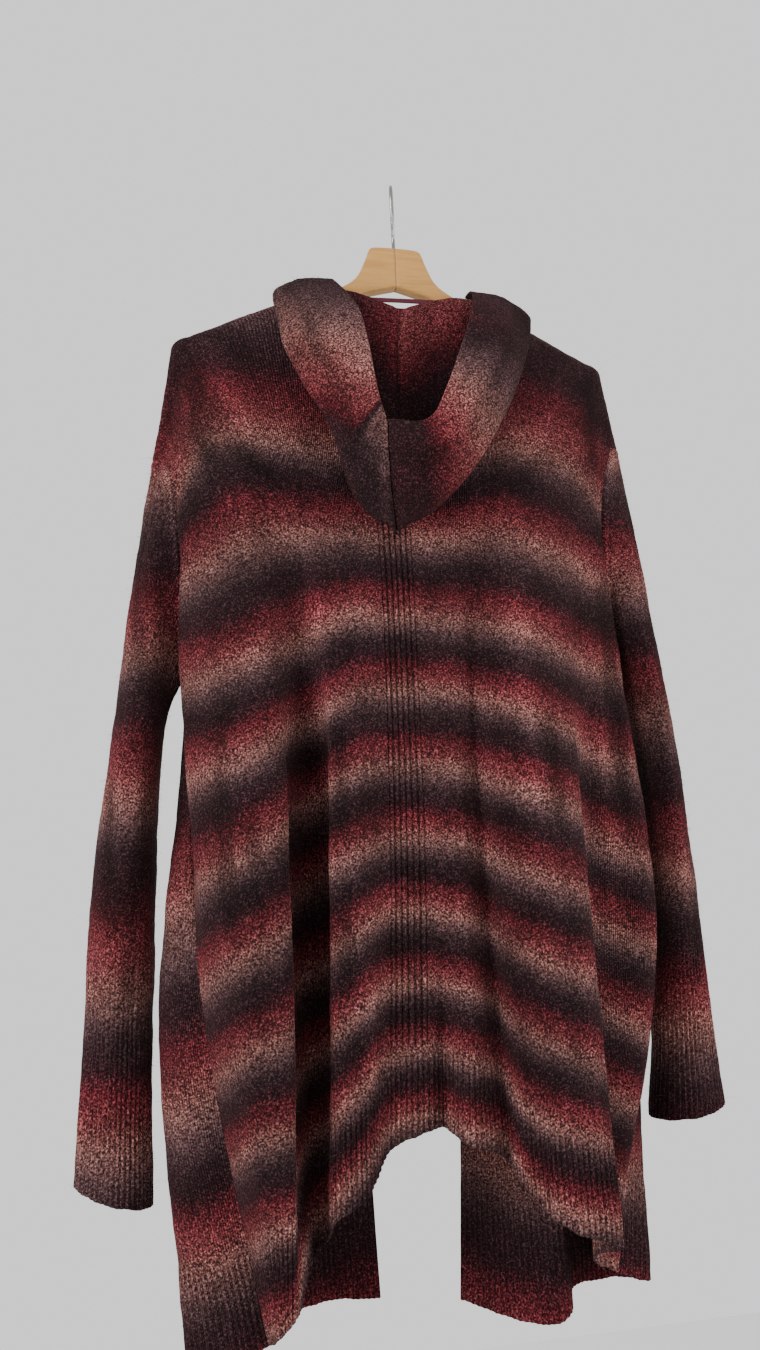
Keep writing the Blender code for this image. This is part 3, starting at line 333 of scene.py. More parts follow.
# Creases: ends of a soft trough (depth above 0) or ridge (below 0), in metres.
CREASES = (
    # start x, y, z,             end x, y, z,               half width, depth
    (-0.212, 0.000, -0.200, -0.190, -0.030, -0.330, 0.010, 0.0022),
    (-0.196, 0.000, -0.175, -0.150, -0.030, -0.300, 0.014, -0.0020),
    (-0.170, -0.020, -0.300, -0.120, -0.035, -0.350, 0.009, 0.0016),
    (-0.205, -0.030, -0.430, -0.176, -0.060, -0.620, 0.009, 0.0024),
    (-0.188, -0.040, -0.560, -0.170, -0.072, -0.780, 0.007, 0.0018),
    (-0.160, -0.065, -0.640, -0.150, -0.070, -0.850, 0.008, 0.0016),
    (-0.100, -0.030, -0.400, -0.092, -0.050, -0.640, 0.007, -0.0020),
    (-0.078, -0.045, -0.560, -0.080, -0.058, -0.840, 0.006, 0.0018),
    (-0.060, -0.050, -0.720, -0.062, -0.055, -0.900, 0.005, -0.0014),
    (0.212, 0.000, -0.190, 0.196, -0.020, -0.320, 0.010, 0.0022),
    (0.190, 0.000, -0.170, 0.130, -0.030, -0.290, 0.013, -0.0018),
    (0.150, -0.025, -0.290, 0.090, -0.035, -0.345, 0.009, 0.0015),
    (0.196, -0.010, -0.400, 0.206, -0.005, -0.700, 0.008, 0.0022),
    (0.180, -0.012, -0.520, 0.186, -0.005, -0.800, 0.006, -0.0014),
    (0.096, -0.045, -0.430, 0.088, -0.075, -0.700, 0.008, -0.0018),
    (0.112, -0.060, -0.560, 0.108, -0.078, -0.880, 0.007, 0.0018),
    (0.118, -0.070, -0.760, 0.122, -0.078, -0.960, 0.006, -0.0015),
    (0.070, -0.055, -0.760, 0.076, -0.062, -0.930, 0.006, 0.0014),
    (-0.225, 0.020, -0.740, -0.200, 0.010, -0.980, 0.009, 0.0018),
    (-0.180, 0.055, -0.480, -0.185, 0.055, -0.760, 0.009, 0.0020),
    (-0.110, 0.060, -0.460, -0.112, 0.055, -0.760, 0.008, -0.0020),
    (0.180, 0.058, -0.460, 0.185, 0.055, -0.740, 0.009, 0.0020),
    (0.110, 0.055, -0.440, 0.106, 0.045, -0.780, 0.008, 0.0018),
    (-0.262, 0.000, -0.430, -0.246, 0.000, -0.560, 0.008, 0.0012),
    (-0.286, 0.010, -0.560, -0.268, -0.004, -0.760, 0.008, 0.0013),
    (-0.250, 0.000, -0.640, -0.262, -0.004, -0.860, 0.007, 0.0009),
    (-0.280, 0.060, -0.480, -0.270, 0.066, -0.720, 0.009, 0.0011),
    (0.262, 0.000, -0.430, 0.250, -0.004, -0.600, 0.008, 0.0011),
    (0.282, 0.010, -0.600, 0.262, -0.004, -0.840, 0.008, 0.0013),
    (0.276, 0.020, -0.760, 0.276, 0.010, -0.910, 0.006, 0.0011),
    (0.272, 0.060, -0.500, 0.266, 0.066, -0.740, 0.009, 0.0011),
    (-0.100, -0.050, -0.190, -0.070, -0.072, -0.270, 0.007, 0.0016),
    (0.100, -0.050, -0.190, 0.070, -0.074, -0.262, 0.008, 0.0016),
    (-0.052, -0.075, -0.335, -0.030, -0.080, -0.372, 0.006, 0.0014),
    (0.028, -0.080, -0.315, -0.004, -0.084, -0.352, 0.007, 0.0014),
)

SEAM_GROOVE = (0.0009, 0.0018)           # depth and half width
SEAM_RIDGE = (0.0008, 0.0028, 0.0045)    # height, half width, distance from the seam
SOFT_WAVES = (0.0011, 27.0)              # unevenness of the cloth: height, waves to a metre
FINE_WAVES = (0.00045, 170.0, 110.0)     # the same, finer: height, waves across, waves down
FREE_EDGE_WAVE = 0.0016
INNER_SHARE = 0.7                        # share of the relief that shows on the cloth's inside
EDGE_ROUND = 0.45                        # a free edge stands out by this share of the thickness
HEM_SUNK, INSERT_SUNK = 0.35, 0.70       # how far the ribs sink into the cloth, of their height

STEPS = 8                # columns between two fold lines
ROW_MARKS = (0.0, WRAP_COURSE, CHEST, RIB_TOP, 1.0)
ROW_COUNTS = (6, 44, 88, 18)
UNDERARM = ROW_COUNTS[0] + ROW_COUNTS[1]
RIB_ROW = UNDERARM + ROW_COUNTS[2]
HOOD_COARSE = 3          # the solid's steps between two rows of the hood table
HOOD_FINE = 4            # finer steps between those


def spread(marks, counts):
    """Even steps between marks, the last mark included."""
    parts = [np.linspace(a, b, n, endpoint=False) for a, b, n in zip(marks, marks[1:], counts)]
    return np.concatenate(parts + [[marks[-1]]])


ROWS = spread(ROW_MARKS, ROW_COUNTS)


# ---------------------------------------------------------------- splines --
def hermite(p0, p1, m0, m1, s):
    s2, s3 = s * s, s * s * s
    return ((2 * s3 - 3 * s2 + 1) * p0 + (s3 - 2 * s2 + s) * m0
            + (3 * s2 - 2 * s3) * p1 + (s3 - s2) * m1)


def through(points, knots, at):
    """Smooth curve through points given at knots, read at one value."""
    last = len(knots) - 1
    k = min(max(int(np.searchsorted(knots, at, side="right")) - 1, 0), last - 1)

    def slope(i):
        a, b = max(i - 1, 0), min(i + 1, last)
        return (points[b] - points[a]) / (knots[b] - knots[a])

    span = knots[k + 1] - knots[k]
    s = (at - knots[k]) / span
    return hermite(points[k], points[k + 1], slope(k) * span, slope(k + 1) * span, s)


def refine(points, steps):
    """The points with steps intervals between each two, on a smooth curve."""
    points = np.array(points)
    lengths = np.linalg.norm(np.diff(points, axis=0), axis=1) ** 0.5
    knots = np.concatenate([[0.0], np.cumsum(lengths)])
    out = []
    for k in range(len(points) - 1):
        for i in range(steps):
            out.append(through(points, knots, knots[k] + (knots[k + 1] - knots[k]) * i / steps))
    out.append(points[-1])
    return np.array(out)


def read_across(grid, where, closed=False, smooth=True):
    """A grid's columns at fractional places."""
    cols = grid.shape[1]
    k = np.floor(where).astype(int)
    if not closed:
        k = np.minimum(k, cols - 2)
    s = (where - k).reshape((1, -1) + (1,) * (grid.ndim - 2))

    def at(i):
        return grid[:, (k + i) % cols if closed else np.clip(k + i, 0, cols - 1)]

    if not smooth:
        return at(0) * (1 - s) + at(1) * s
    return hermite(at(0), at(1), (at(1) - at(-1)) / 2, (at(2) - at(0)) / 2, s)


# --------------------------------------------------------------- shoulder --
def arm_depth(x):
    return ARM_CURVE * (x / 0.21) ** 2


def shoulder(d):
    """Point and outward direction of the shoulder line at d metres from the
    centre: along the arm, round its end, then down the dropped shoulder."""
    side = -1.0 if d < 0 else 1.0
    along = abs(d) - NECK_HALF
    fall = atan2(SHOULDER_SLOPE, 1.0)
    turn = pi / 2 - atan2(DROP_LEAN, 1.0) - fall
    bend = CORNER_RADIUS * turn
    run = min(along, SHOULDER_RUN)
    x = NECK_HALF + run * cos(fall)
    z = SHOULDER_Z - run * sin(fall)
    angle = fall
    if along > SHOULDER_RUN:
        swept = min(along - SHOULDER_RUN, bend) / CORNER_RADIUS
        x += CORNER_RADIUS * (sin(fall + swept) - sin(fall))
        z -= CORNER_RADIUS * (cos(fall) - cos(fall + swept))
        angle = fall + swept
    rest = max(along - SHOULDER_RUN - bend, 0.0)
    x += rest * cos(angle)
    z -= rest * sin(angle)
    normal = np.array([side * sin(angle), 0.0, cos(angle)])
    return np.array([side * x, arm_depth(min(x, 0.21)), z]), normal


def neck_edge(d):
    """The back neck between the hanger's arms."""
    share = (d / NECK_INNER) ** 2
    end, _ = shoulder(NECK_INNER)
    y = NECK_DEPTH + (end[1] - ARM_WRAP - NECK_DEPTH) * share
    return np.array([d, y, end[2] - ARM_WRAP - NECK_SAG * (1 - share)])


def over_arm(d, side):
    """The first courses of one fold line, over the arm and down beside it."""
    steps = ROWS[:ROW_COUNTS[0] + 1] / WRAP_COURSE
    drop = ARM_WRAP * 1.3
    if abs(d) < NECK_INNER - 1e-6:
        return [neck_edge(d) - np.array([0.0, 0.0, drop * s]) for s in steps]
    top, normal = shoulder(d)
    centre = top - normal * ARM_WRAP
    start = pi / 2 * min(max((NECK_HALF - abs(d)) / (NECK_HALF - NECK_INNER), 0.0), 1.0)
    arc = ARM_WRAP * (pi / 2 - start)
    path = arc + drop * start / (pi / 2)
    out = []
    for s in steps:
        gone = s * path
        turn = start + min(gone, arc) / ARM_WRAP
        point = centre + ARM_WRAP * (normal * cos(turn) + np.array([0.0, side * sin(turn), 0.0]))
        out.append(point - np.array([0.0, 0.0, max(gone - arc, 0.0)]))
    return out


def body_grid(places, tables, side):
    """Rows of courses by columns of wales, made finer between the folds."""
    levels = np.array([refine([row[k] for row in tables], STEPS) for k in range(len(LEVELS) - 1)])
    fine = np.interp(np.arange(levels.shape[1]) / STEPS, range(len(places)), places)
    knots = (WRAP_COURSE,) + LEVELS[1:]
    wales = []
    for i, d in enumerate(fine):
        head = over_arm(d, side)
        anchors = np.concatenate([[head[-1]], levels[:, i]])
        wales.append(head + [through(anchors, knots, t) for t in ROWS[ROW_COUNTS[0] + 1:]])
    return np.array(wales).swapaxes(0, 1)


# ----------------------------------------------------------------- shells --
def unit(v):
    return v / np.maximum(np.linalg.norm(v, axis=-1, keepdims=True), 1e-12)


def grid_normals(grid, before=None, after=None, above=None, below=None, closed=False):
    """Normals of a grid; the neighbours beyond its edges make seams match."""
    g = np.array(grid)
    up = np.concatenate([(g[:1] if above is None else above[None]), g[:-1]])
    down = np.concatenate([g[1:], (g[-1:] if below is None else below[None])])
    if closed:
        left, right = np.roll(g, 1, axis=1), np.roll(g, -1, axis=1)
    else:
        first = g[:, :1] if before is None else before[:, None]
        last = g[:, -1:] if after is None else after[:, None]
        left = np.concatenate([first, g[:, :-1]], axis=1)
        right = np.concatenate([g[:, 1:], last], axis=1)
    across = unit(right - g) + unit(g - left)
    along = unit(down - g) + unit(g - up)
    return unit(np.cross(across, along))


def lengths_along(grid):
    """Mean distance down from the first row, for each row."""
    steps = np.linalg.norm(np.diff(grid, axis=0), axis=2).mean(axis=1)
    return np.concatenate([[0.0], np.cumsum(steps)])


def lengths_across(row, closed=False):
    """Distance along one row from its first column; closed adds the way back."""
    ends = np.concatenate([row, row[:1]]) if closed else row
    return np.concatenate([[0.0], np.cumsum(np.linalg.norm(np.diff(ends, axis=0), axis=1))])


def relief(points):
    """Creases and the slight unevenness of soft knit, as height to add."""
    flat = points.reshape(-1, 3)
    lift = np.zeros(len(flat))
    height, wide, tall = FINE_WAVES
    for row in CREASES:
        start, end, width, depth = np.array(row[:3]), np.array(row[3:6]), row[6], row[7]
        way = end - start
        share = ((flat - start) @ way) / (way @ way)
        near = np.clip(share, 0.0, 1.0)
        gap = np.linalg.norm(flat - start - near[:, None] * way, axis=1)
        taper = np.clip(1.0 - (2 * near - 1) ** 4, 0.0, 1.0)
        lift -= depth * taper * np.exp(-(gap / width) ** 2)
    for i, p in enumerate(flat):
        lift[i] += SOFT_WAVES[0] * noise.noise(Vector(p) * SOFT_WAVES[1])
        lift[i] += height * noise.noise(Vector((p[0] * wide, p[1] * wide, p[2] * tall)))
    return lift.reshape(points.shape[:2])


def shell(name, grid, raised, across, along, stripes, node, slot, free=(), closed=False,
          facing=None, trim=(0, 0, 0, 0)):
    """A closed thin shell over a grid of middle points, with the relief and the
    ribs on its outer side.  trim cuts off rows and columns (top, bottom, first,
    last) that only make the shading match the piece beside it."""
    normals = grid_normals(grid, closed=closed) if facing is None else facing
    outer = grid + normals * (KNIT / 2 + raised)[..., None]
    inner = grid - normals * (KNIT / 2 - raised * INNER_SHARE)[..., None]
    shade = grid_normals(outer, closed=closed)
    shade = np.where(np.sum(shade * normals, axis=2, keepdims=True) < 0, -shade, shade)
    rim = np.zeros(grid.shape[:2])
    top, bottom, first, last = trim
    if not closed:
        rim[:, 0], rim[:, -1] = float(first == 0), float(last == 0)
    rim[0] = np.maximum(rim[0], float(top == 0))
    rim[-1] = np.maximum(rim[-1], float(bottom == 0))
    shade = unit(shade * (1 - rim[..., None]) + normals * rim[..., None])
    rows = slice(top, grid.shape[0] - bottom)
    cols = slice(first, grid.shape[1] - last)
    outer, inner, shade = outer[rows, cols], inner[rows, cols], shade[rows, cols]
    raised = raised[rows, cols]
    across, along, stripes = across[first:], along[rows], stripes[rows, cols]
    count_r, count_c = outer.shape[:2]
    size = count_r * count_c
    points = [outer.reshape(-1, 3), inner.reshape(-1, 3)]
    directions = [shade.reshape(-1, 3), -shade.reshape(-1, 3)]
    index = np.arange(size).reshape(count_r, count_c)
    spans = count_c if closed else count_c - 1
    r, c = np.meshgrid(np.arange(count_r - 1), np.arange(spans), indexing="ij")
    n = (c + 1) % count_c
    quads = [np.stack([index[r, c], index[r + 1, c], index[r + 1, n], index[r, n]], axis=-1).reshape(-1, 4)]
    quads.append(quads[0][:, ::-1] + size)
    number = 2 * size

    def edge(ids, beside, is_free, loop):
        """The rim between the two sides: rounded where it is free."""
        nonlocal number
        middle = (points[0][ids] + points[1][ids]) / 2
        inside = (points[0][beside] + points[1][beside]) / 2
        if is_free:
            middle = middle + unit(middle - inside) * KNIT * EDGE_ROUND
        points.append(middle)
        directions.append(unit(middle - inside))
        own = number + np.arange(len(ids))
        number += len(ids)
        k = np.arange(len(ids) if loop else len(ids) - 1)
        m = (k + 1) % len(ids)
        quads.append(np.stack([ids[k], ids[m], own[m], own[k]], axis=-1))
        quads.append(np.stack([own[k], own[m], ids[m] + size, ids[k] + size], axis=-1))
        return ids

    rims = [edge(index[0], index[1], "top" in free, closed),
            edge(index[-1, ::-1], index[-2, ::-1], "bottom" in free, closed)]
    if not closed:
        rims.append(edge(index[::-1, 0], index[::-1, 1], "first" in free, False))
        rims.append(edge(index[:, -1], index[:, -2], "last" in free, False))
    points, directions = np.concatenate(points), np.concatenate(directions)
    quads = np.concatenate(quads)
    centre = points.mean(axis=0)
    corners = points[quads] - centre
    volume = np.sum(np.cross(corners[:, 0], corners[:, 1]) * corners[:, 2]
                    + np.cross(corners[:, 0], corners[:, 2]) * corners[:, 3])
    if volume < 0:
        quads = quads[:, ::-1]
    mesh = bpy.data.meshes.new(name)
    mesh.from_pydata(points.tolist(), [], quads.tolist())
    u = np.tile(across[:count_c], (count_r, 1)).reshape(-1)
    v = np.tile(along[:, None], (1, count_c)).reshape(-1)
    # the relief's height in millimetres rides beside the stripe number; the knit shader paints shade in its
    # hollows and light on its ridges from it
    k, height = stripes.reshape(-1), raised.reshape(-1) * 1000
    u, v, k, height = (np.concatenate([x, x] + [x[ids] for ids in rims]) for x in (u, v, k, height))
    loops = quads.reshape(-1)
    lu = u[loops].reshape(-1, 4)
    if closed:
        around = across[count_c]
        wide = lu.max(axis=1) - lu.min(axis=1) > around / 2
        lu[wide] = np.where(lu[wide] < around / 2, lu[wide] + around, lu[wide])
    for label, x, y in (("cloth", lu.reshape(-1), v[loops]), ("course", k[loops], height[loops])):
        layer = mesh.uv_layers.new(name=label)
        layer.data.foreach_set("uv", np.stack([x, y], axis=1).reshape(-1))
    mesh.shade_smooth()
    mesh.normals_split_custom_set_from_vertices(directions.tolist())
    mesh.materials.append(MATERIALS[slot])
    obj = bpy.data.objects.new(name + "_knit", mesh)
    bpy.context.scene.collection.objects.link(obj)
    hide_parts(node)
    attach(obj, "root")
    SURFACES.append((points[:size], directions[:size], k[:size]))


def ribs(across):
    """Rounded ribs across a row of columns, zero at both of its ends."""
    count = max(int(round(across[-1] / RIB_PITCH)), 1)
    return (0.5 - 0.5 * np.cos(2 * pi * count * across / across[-1])) ** 0.6


def ease(x):
    x = np.clip(x, 0.0, 1.0)
    return x * x * (3 - 2 * x)


# -------------------------------------------------------------- materials --
# The yarn's shades down one repeat, as linear light.
YARN = (
    (0.00, (0.166, 0.064, 0.056)),       # tan
    (0.07, (0.138, 0.060, 0.054)),       # dusty tan
    (0.20, (0.060, 0.029, 0.030)),       # grey
    (0.35, (0.020, 0.009, 0.011)),       # charcoal
    (0.53, (0.018, 0.005, 0.007)),       # the darkest maroon
    (0.70, (0.080, 0.010, 0.014)),       # red
    (0.86, (0.125, 0.026, 0.028)),       # salmon
    (1.00, (0.166, 0.064, 0.056)),       # tan
)


class Shader:
    """A material's nodes, made by short calls."""

    def __init__(self, name):
        self.material = bpy.data.materials.new(name)
        self.material.use_nodes = True
        self.tree = self.material.node_tree
        self.surface = self.tree.nodes["Principled BSDF"]

    def node(self, kind, inputs=None, **settings):
        made = self.tree.nodes.new(kind)
        for key, value in settings.items():
            setattr(made, key, value)
        for key, value in (inputs or {}).items():
            if isinstance(value, bpy.types.NodeSocket):
                self.tree.links.new(value, made.inputs[key])
            else:
                made.inputs[key].default_value = value
        return made

    def math(self, operation, a, b=0.0, c=0.0):
        return self.node("ShaderNodeMath", {0: a, 1: b, 2: c}, operation=operation).outputs[0]

    def uv(self, label):
        return self.node("ShaderNodeUVMap", uv_map=label).outputs[0]

    def stretched(self, vector, scale):
        return self.node("ShaderNodeVectorMath", {0: vector, 1: scale}, operation="MULTIPLY").outputs[0]

    def noise(self, vector, scale, detail=1.0, rough=0.5):
        return self.node("ShaderNodeTexNoise", {"Vector": self.stretched(vector, scale), "Scale": 1.0,
                                                "Detail": detail, "Roughness": rough}).outputs[0]

    def level(self, value, low, high, to_low=0.0, to_high=1.0):
        return self.node("ShaderNodeMapRange", {0: value, 1: low, 2: high, 3: to_low, 4: to_high}).outputs[0]

    def ramp(self, value, stops):
        made = self.node("ShaderNodeValToRGB", {0: value})
        ramp = made.color_ramp
        while len(ramp.elements) < len(stops):
            ramp.elements.new(0.5)
        for element, (place, colour) in zip(ramp.elements, stops):
            element.position = place
            element.color = (*colour, 1.0)
        return made.outputs[0]

    def blend(self, share, a, b, how="MIX"):
        made = self.node("ShaderNodeMix", data_type="RGBA", blend_type=how)
        for key, value in ((0, share), (6, a), (7, b)):
            if isinstance(value, bpy.types.NodeSocket):
                self.tree.links.new(value, made.inputs[key])
            else:
                made.inputs[key].default_value = value
        return made.outputs[2]

    def tint(self, colour, gain):
        """The colour made lighter or darker by a grey gain."""
        grey = self.node("ShaderNodeCombineColor", {0: gain, 1: gain, 2: gain}).outputs[0]
        return self.blend(1.0, colour, grey, "MULTIPLY")

    def bump(self, height, distance, strength=1.0):
        return self.node("ShaderNodeBump", {"Height": height, "Distance": distance,
                                            "Strength": strength}).outputs[0]

    def finish(self, colour=None, roughness=None, normal=None, **constants):
        links = self.tree.links
        for key, value in (("Base Color", colour), ("Roughness", roughness), ("Normal", normal)):
            if isinstance(value, bpy.types.NodeSocket):
                links.new(value, self.surface.inputs[key])
            elif value is not None:
                self.surface.inputs[key].default_value = value
        for key, value in constants.items():
            self.surface.inputs[key.replace("_", " ")].default_value = value
        return self.material


def knit(name, wale, course, hairy):
    """Marled boucle yarn in soft stripes, knitted; wale and course in metres."""
    s = Shader(name)
    cloth = s.uv("cloth")
    split = s.node("ShaderNodeSeparateXYZ", {0: s.uv("course")})
    place = s.node("ShaderNodeSeparateXYZ", {0: cloth})
    spot = s.node("ShaderNodeTexCoord").outputs["Object"]
    drift = s.math("MULTIPLY", s.math("SUBTRACT", s.noise(cloth, (16.0, 26.0, 1.0), 2.0), 0.5), 0.12)
    fleck = s.noise(spot, (760.0, 760.0, 560.0), 1.0, 0.6)
    speck = s.noise(spot, (560.0, 560.0, 640.0), 0.0)
    loops = s.noise(cloth, (330.0, 250.0, 1.0), 1.0)
    strand = s.math("MULTIPLY", s.math("SUBTRACT", fleck, 0.5), 0.30)
    stripe = s.math("ADD", s.math("ADD", split.outputs[0], drift), strand)
    colour = s.ramp(s.math("FRACT", stripe), YARN)
    # light and dark flecks of the marled yarn, then painted shade down in the relief's hollows (creases, seam
    # grooves, rib grooves) and painted light on its ridges
    marl = s.level(fleck, 0.35, 0.65, 0.28, 1.76)
    # painted shade and light: the colour is darkened where the relief sinks and lightened where it rises
    painted_relief_shading = s.level(split.outputs[1], -1.1, 1.2, 0.36, 1.20)
    colour = s.tint(colour, s.math("MULTIPLY", marl, painted_relief_shading))
    pale = s.blend(0.035, s.blend(1.0, colour, (2.0, 2.3, 2.2, 1.0), "MULTIPLY"), (0.42, 0.30, 0.25, 1.0))
    colour = s.blend(s.math("MULTIPLY", s.level(speck, 0.58, 0.68), 0.8), colour, pale)
    colour = s.blend(s.math("MULTIPLY", s.level(speck, 0.42, 0.33), 0.8), colour, (0.010, 0.005, 0.006, 1.0))
    # stitches: two leaning legs to a wale, in courses, with painted shade between the legs
    across = s.math("FRACT", s.math("DIVIDE", place.outputs[0], wale))
    lean = s.math("MULTIPLY", s.math("ABSOLUTE", s.math("SUBTRACT", across, 0.5)), 1.1)
    down = s.math("ADD", s.math("DIVIDE", place.outputs[1], course), lean)
    leg = s.math("ABSOLUTE", s.math("SINE", s.math("MULTIPLY", across, 2 * pi)))
    stitch = s.math("ABSOLUTE", s.math("SINE", s.math("MULTIPLY", down, pi)))
    loop_height = s.math("MULTIPLY", loops, 1.1)
    height = s.math("MULTIPLY_ADD", leg, s.math("MULTIPLY_ADD", stitch, 0.6, 0.4), loop_height)
    # painted shade: the colour darkens between the stitch legs, where their bump is low
    painted_stitch_shading = s.level(s.math("MULTIPLY", leg, s.math("MULTIPLY_ADD", stitch, 0.5, 0.5)), 0.0, 0.7, 0.62, 1.06)
    colour = s.tint(colour, painted_stitch_shading)
    normal = s.bump(height, 0.0011, 0.75)
    return s.finish(colour, s.level(fleck, 0.2, 0.8, 0.98, 0.84), normal, Sheen_Weight=hairy,
                    Sheen_Roughness=0.40, Sheen_Tint=(0.60, 0.25, 0.24, 1.0), Specular_IOR_Level=0.05)


def fuzz_material():
    s = Shader("yarn_fuzz")
    split = s.node("ShaderNodeSeparateXYZ", {0: s.uv("course")})
    colour = s.ramp(s.math("FRACT", split.outputs[0]), YARN)
    grain = s.noise(s.node("ShaderNodeTexCoord").outputs["Object"], (900.0, 900.0, 900.0))
    colour = s.blend(s.level(grain, 0.3, 0.7, 0.05, 0.35), colour, (0.20, 0.09, 0.08, 1.0))
    return s.finish(colour, 0.85, Sheen_Weight=0.1, Specular_IOR_Level=0.2)


def wood():
    s = Shader("hanger_wood")
    place = s.node("ShaderNodeTexCoord").outputs["Object"]
    rings = s.noise(place, (9.0, 160.0, 130.0), 3.0, 0.55)
    pores = s.noise(place, (120.0, 1500.0, 1500.0), 1.0)
    wide = s.noise(place, (14.0, 30.0, 24.0), 1.0)
    grain = ((0.32, (0.320, 0.150, 0.032)), (0.50, (0.420, 0.210, 0.050)), (0.68, (0.350, 0.168, 0.037)))
    colour = s.ramp(rings, grain)
    colour = s.blend(s.level(pores, 0.58, 0.70, 0.0, 0.40), colour, (0.24, 0.13, 0.05, 1.0))
    colour = s.blend(s.level(wide, 0.3, 0.7, 0.0, 0.25), colour, (0.43, 0.215, 0.048, 1.0))
    normal = s.bump(s.math("ADD", rings, s.math("MULTIPLY", pores, 0.6)), 0.0003, 0.5)
    return s.finish(colour, s.level(rings, 0.3, 0.7, 0.42, 0.56), normal,
                    Coat_Weight=0.06, Coat_Roughness=0.35)


def steel():
    s = Shader("hook_steel")
    place = s.node("ShaderNodeTexCoord").outputs["Object"]
    drawn = s.noise(place, (900.0, 900.0, 40.0), 2.0)
    spots = s.noise(place, (60.0, 60.0, 60.0), 2.0)
    colour = s.ramp(spots, ((0.35, (0.200, 0.202, 0.190)), (0.65, (0.270, 0.272, 0.255))))
    return s.finish(colour, s.level(drawn, 0.3, 0.7, 0.20, 0.34), s.bump(drawn, 0.00002, 0.1), Metallic=1.0)


def ribbon():
    s = Shader("tape_grosgrain")
    place = s.node("ShaderNodeSeparateXYZ", {0: s.uv("cloth")})
    cords = s.math("ABSOLUTE", s.math("SINE", s.math("MULTIPLY", place.outputs[0], pi / 0.0007)))
    tone = s.noise(s.uv("cloth"), (300.0, 900.0, 1.0), 2.0)
    colour = s.ramp(tone, ((0.30, (0.052, 0.006, 0.013)), (0.70, (0.098, 0.012, 0.024))))
    return s.finish(colour, s.level(cords, 0.0, 1.0, 0.62, 0.46), s.bump(cords, 0.0002, 0.6),
                    Specular_IOR_Level=0.15)


MATERIALS = {
    "knit_red": knit("knit_red_marl", 0.0024, 0.0021, 0.05),
    "knit_dark": knit("knit_dark_marl", 0.0024, 0.0021, 0.04),
    "knit_rose": knit("knit_rose_marl", 0.0024, 0.0021, 0.05),
    "fuzz": fuzz_material(),
    "tape": ribbon(),
    "wood": wood(),
    "steel": steel(),
}
SURFACES = []            # outer points, their directions and stripes, for the fuzz


# ------------------------------------------------------------------- body --
def round_armhole(grid, first_column):
    """Keep the back's armhole edge out flat until it nears the underarm."""
    start_course = 0.13
    edge = 0 if first_column else grid.shape[1] - 1
    begin = int(np.searchsorted(ROWS, start_course))
    start, end = grid[begin, edge, 1], grid[UNDERARM, edge, 1]
    for r in range(begin, UNDERARM):
        share = (ROWS[r] - start_course) / (CHEST - start_course)
        shift = start + (end - start) * share ** 2.5 - grid[r, edge, 1]
        for c in range(STEPS):
            grid[r, c if first_column else edge - c, 1] += shift * (1 - c / STEPS)


def back_and_fronts():
    places = [row[1] for row in BACK_FOLDS]
    back = body_grid(places, [row[2:] for row in BACK_FOLDS], -1)
    round_armhole(back, True)
    round_armhole(back, False)
    left = body_grid(places[:NECK_LEFT + 1], [row[1:] for row in LEFT_FRONT_FOLDS], 1)
    right = body_grid(places[:NECK_RIGHT - 1:-1], [row[1:] for row in RIGHT_FRONT_FOLDS], 1)
    left[UNDERARM:, 0] = back[UNDERARM:, 0]
    right[UNDERARM:, 0] = back[UNDERARM:, -1]
    return back, left, right


def back_stripes(heights):
    """Stripe numbers on the back, by row and column."""
    yoke = int(np.searchsorted(ROWS, YOKE))
    above = np.interp(heights - heights[yoke], *YOKE_STRIPES)
    base = np.where((ROWS < YOKE)[:, None], above, ((ROWS - YOKE) * BACK_RATE)[:, None]) - 1.0
    places = [i for i, row in enumerate(BACK_FOLDS) if row[0] in BACK_SAG]
    by_row = np.array([np.interp(ROWS, SAG_COURSES, sag) for sag in BACK_SAG.values()]) * STRIPE_STEP
    folds = np.arange(heights.shape[1]) / STEPS
    out = np.array([np.interp(folds, places, by_row[:, r]) for r in range(len(ROWS))])
    return out + base


def front_stripes(side, count):
    drift = np.interp(np.linspace(0, 1, count), (0.0, 0.35, 1.0), FRONT_DRIFT[side])
    return ((ROWS - FRONT_TAN[side]) * FRONT_RATE[side])[:, None] + drift[None]


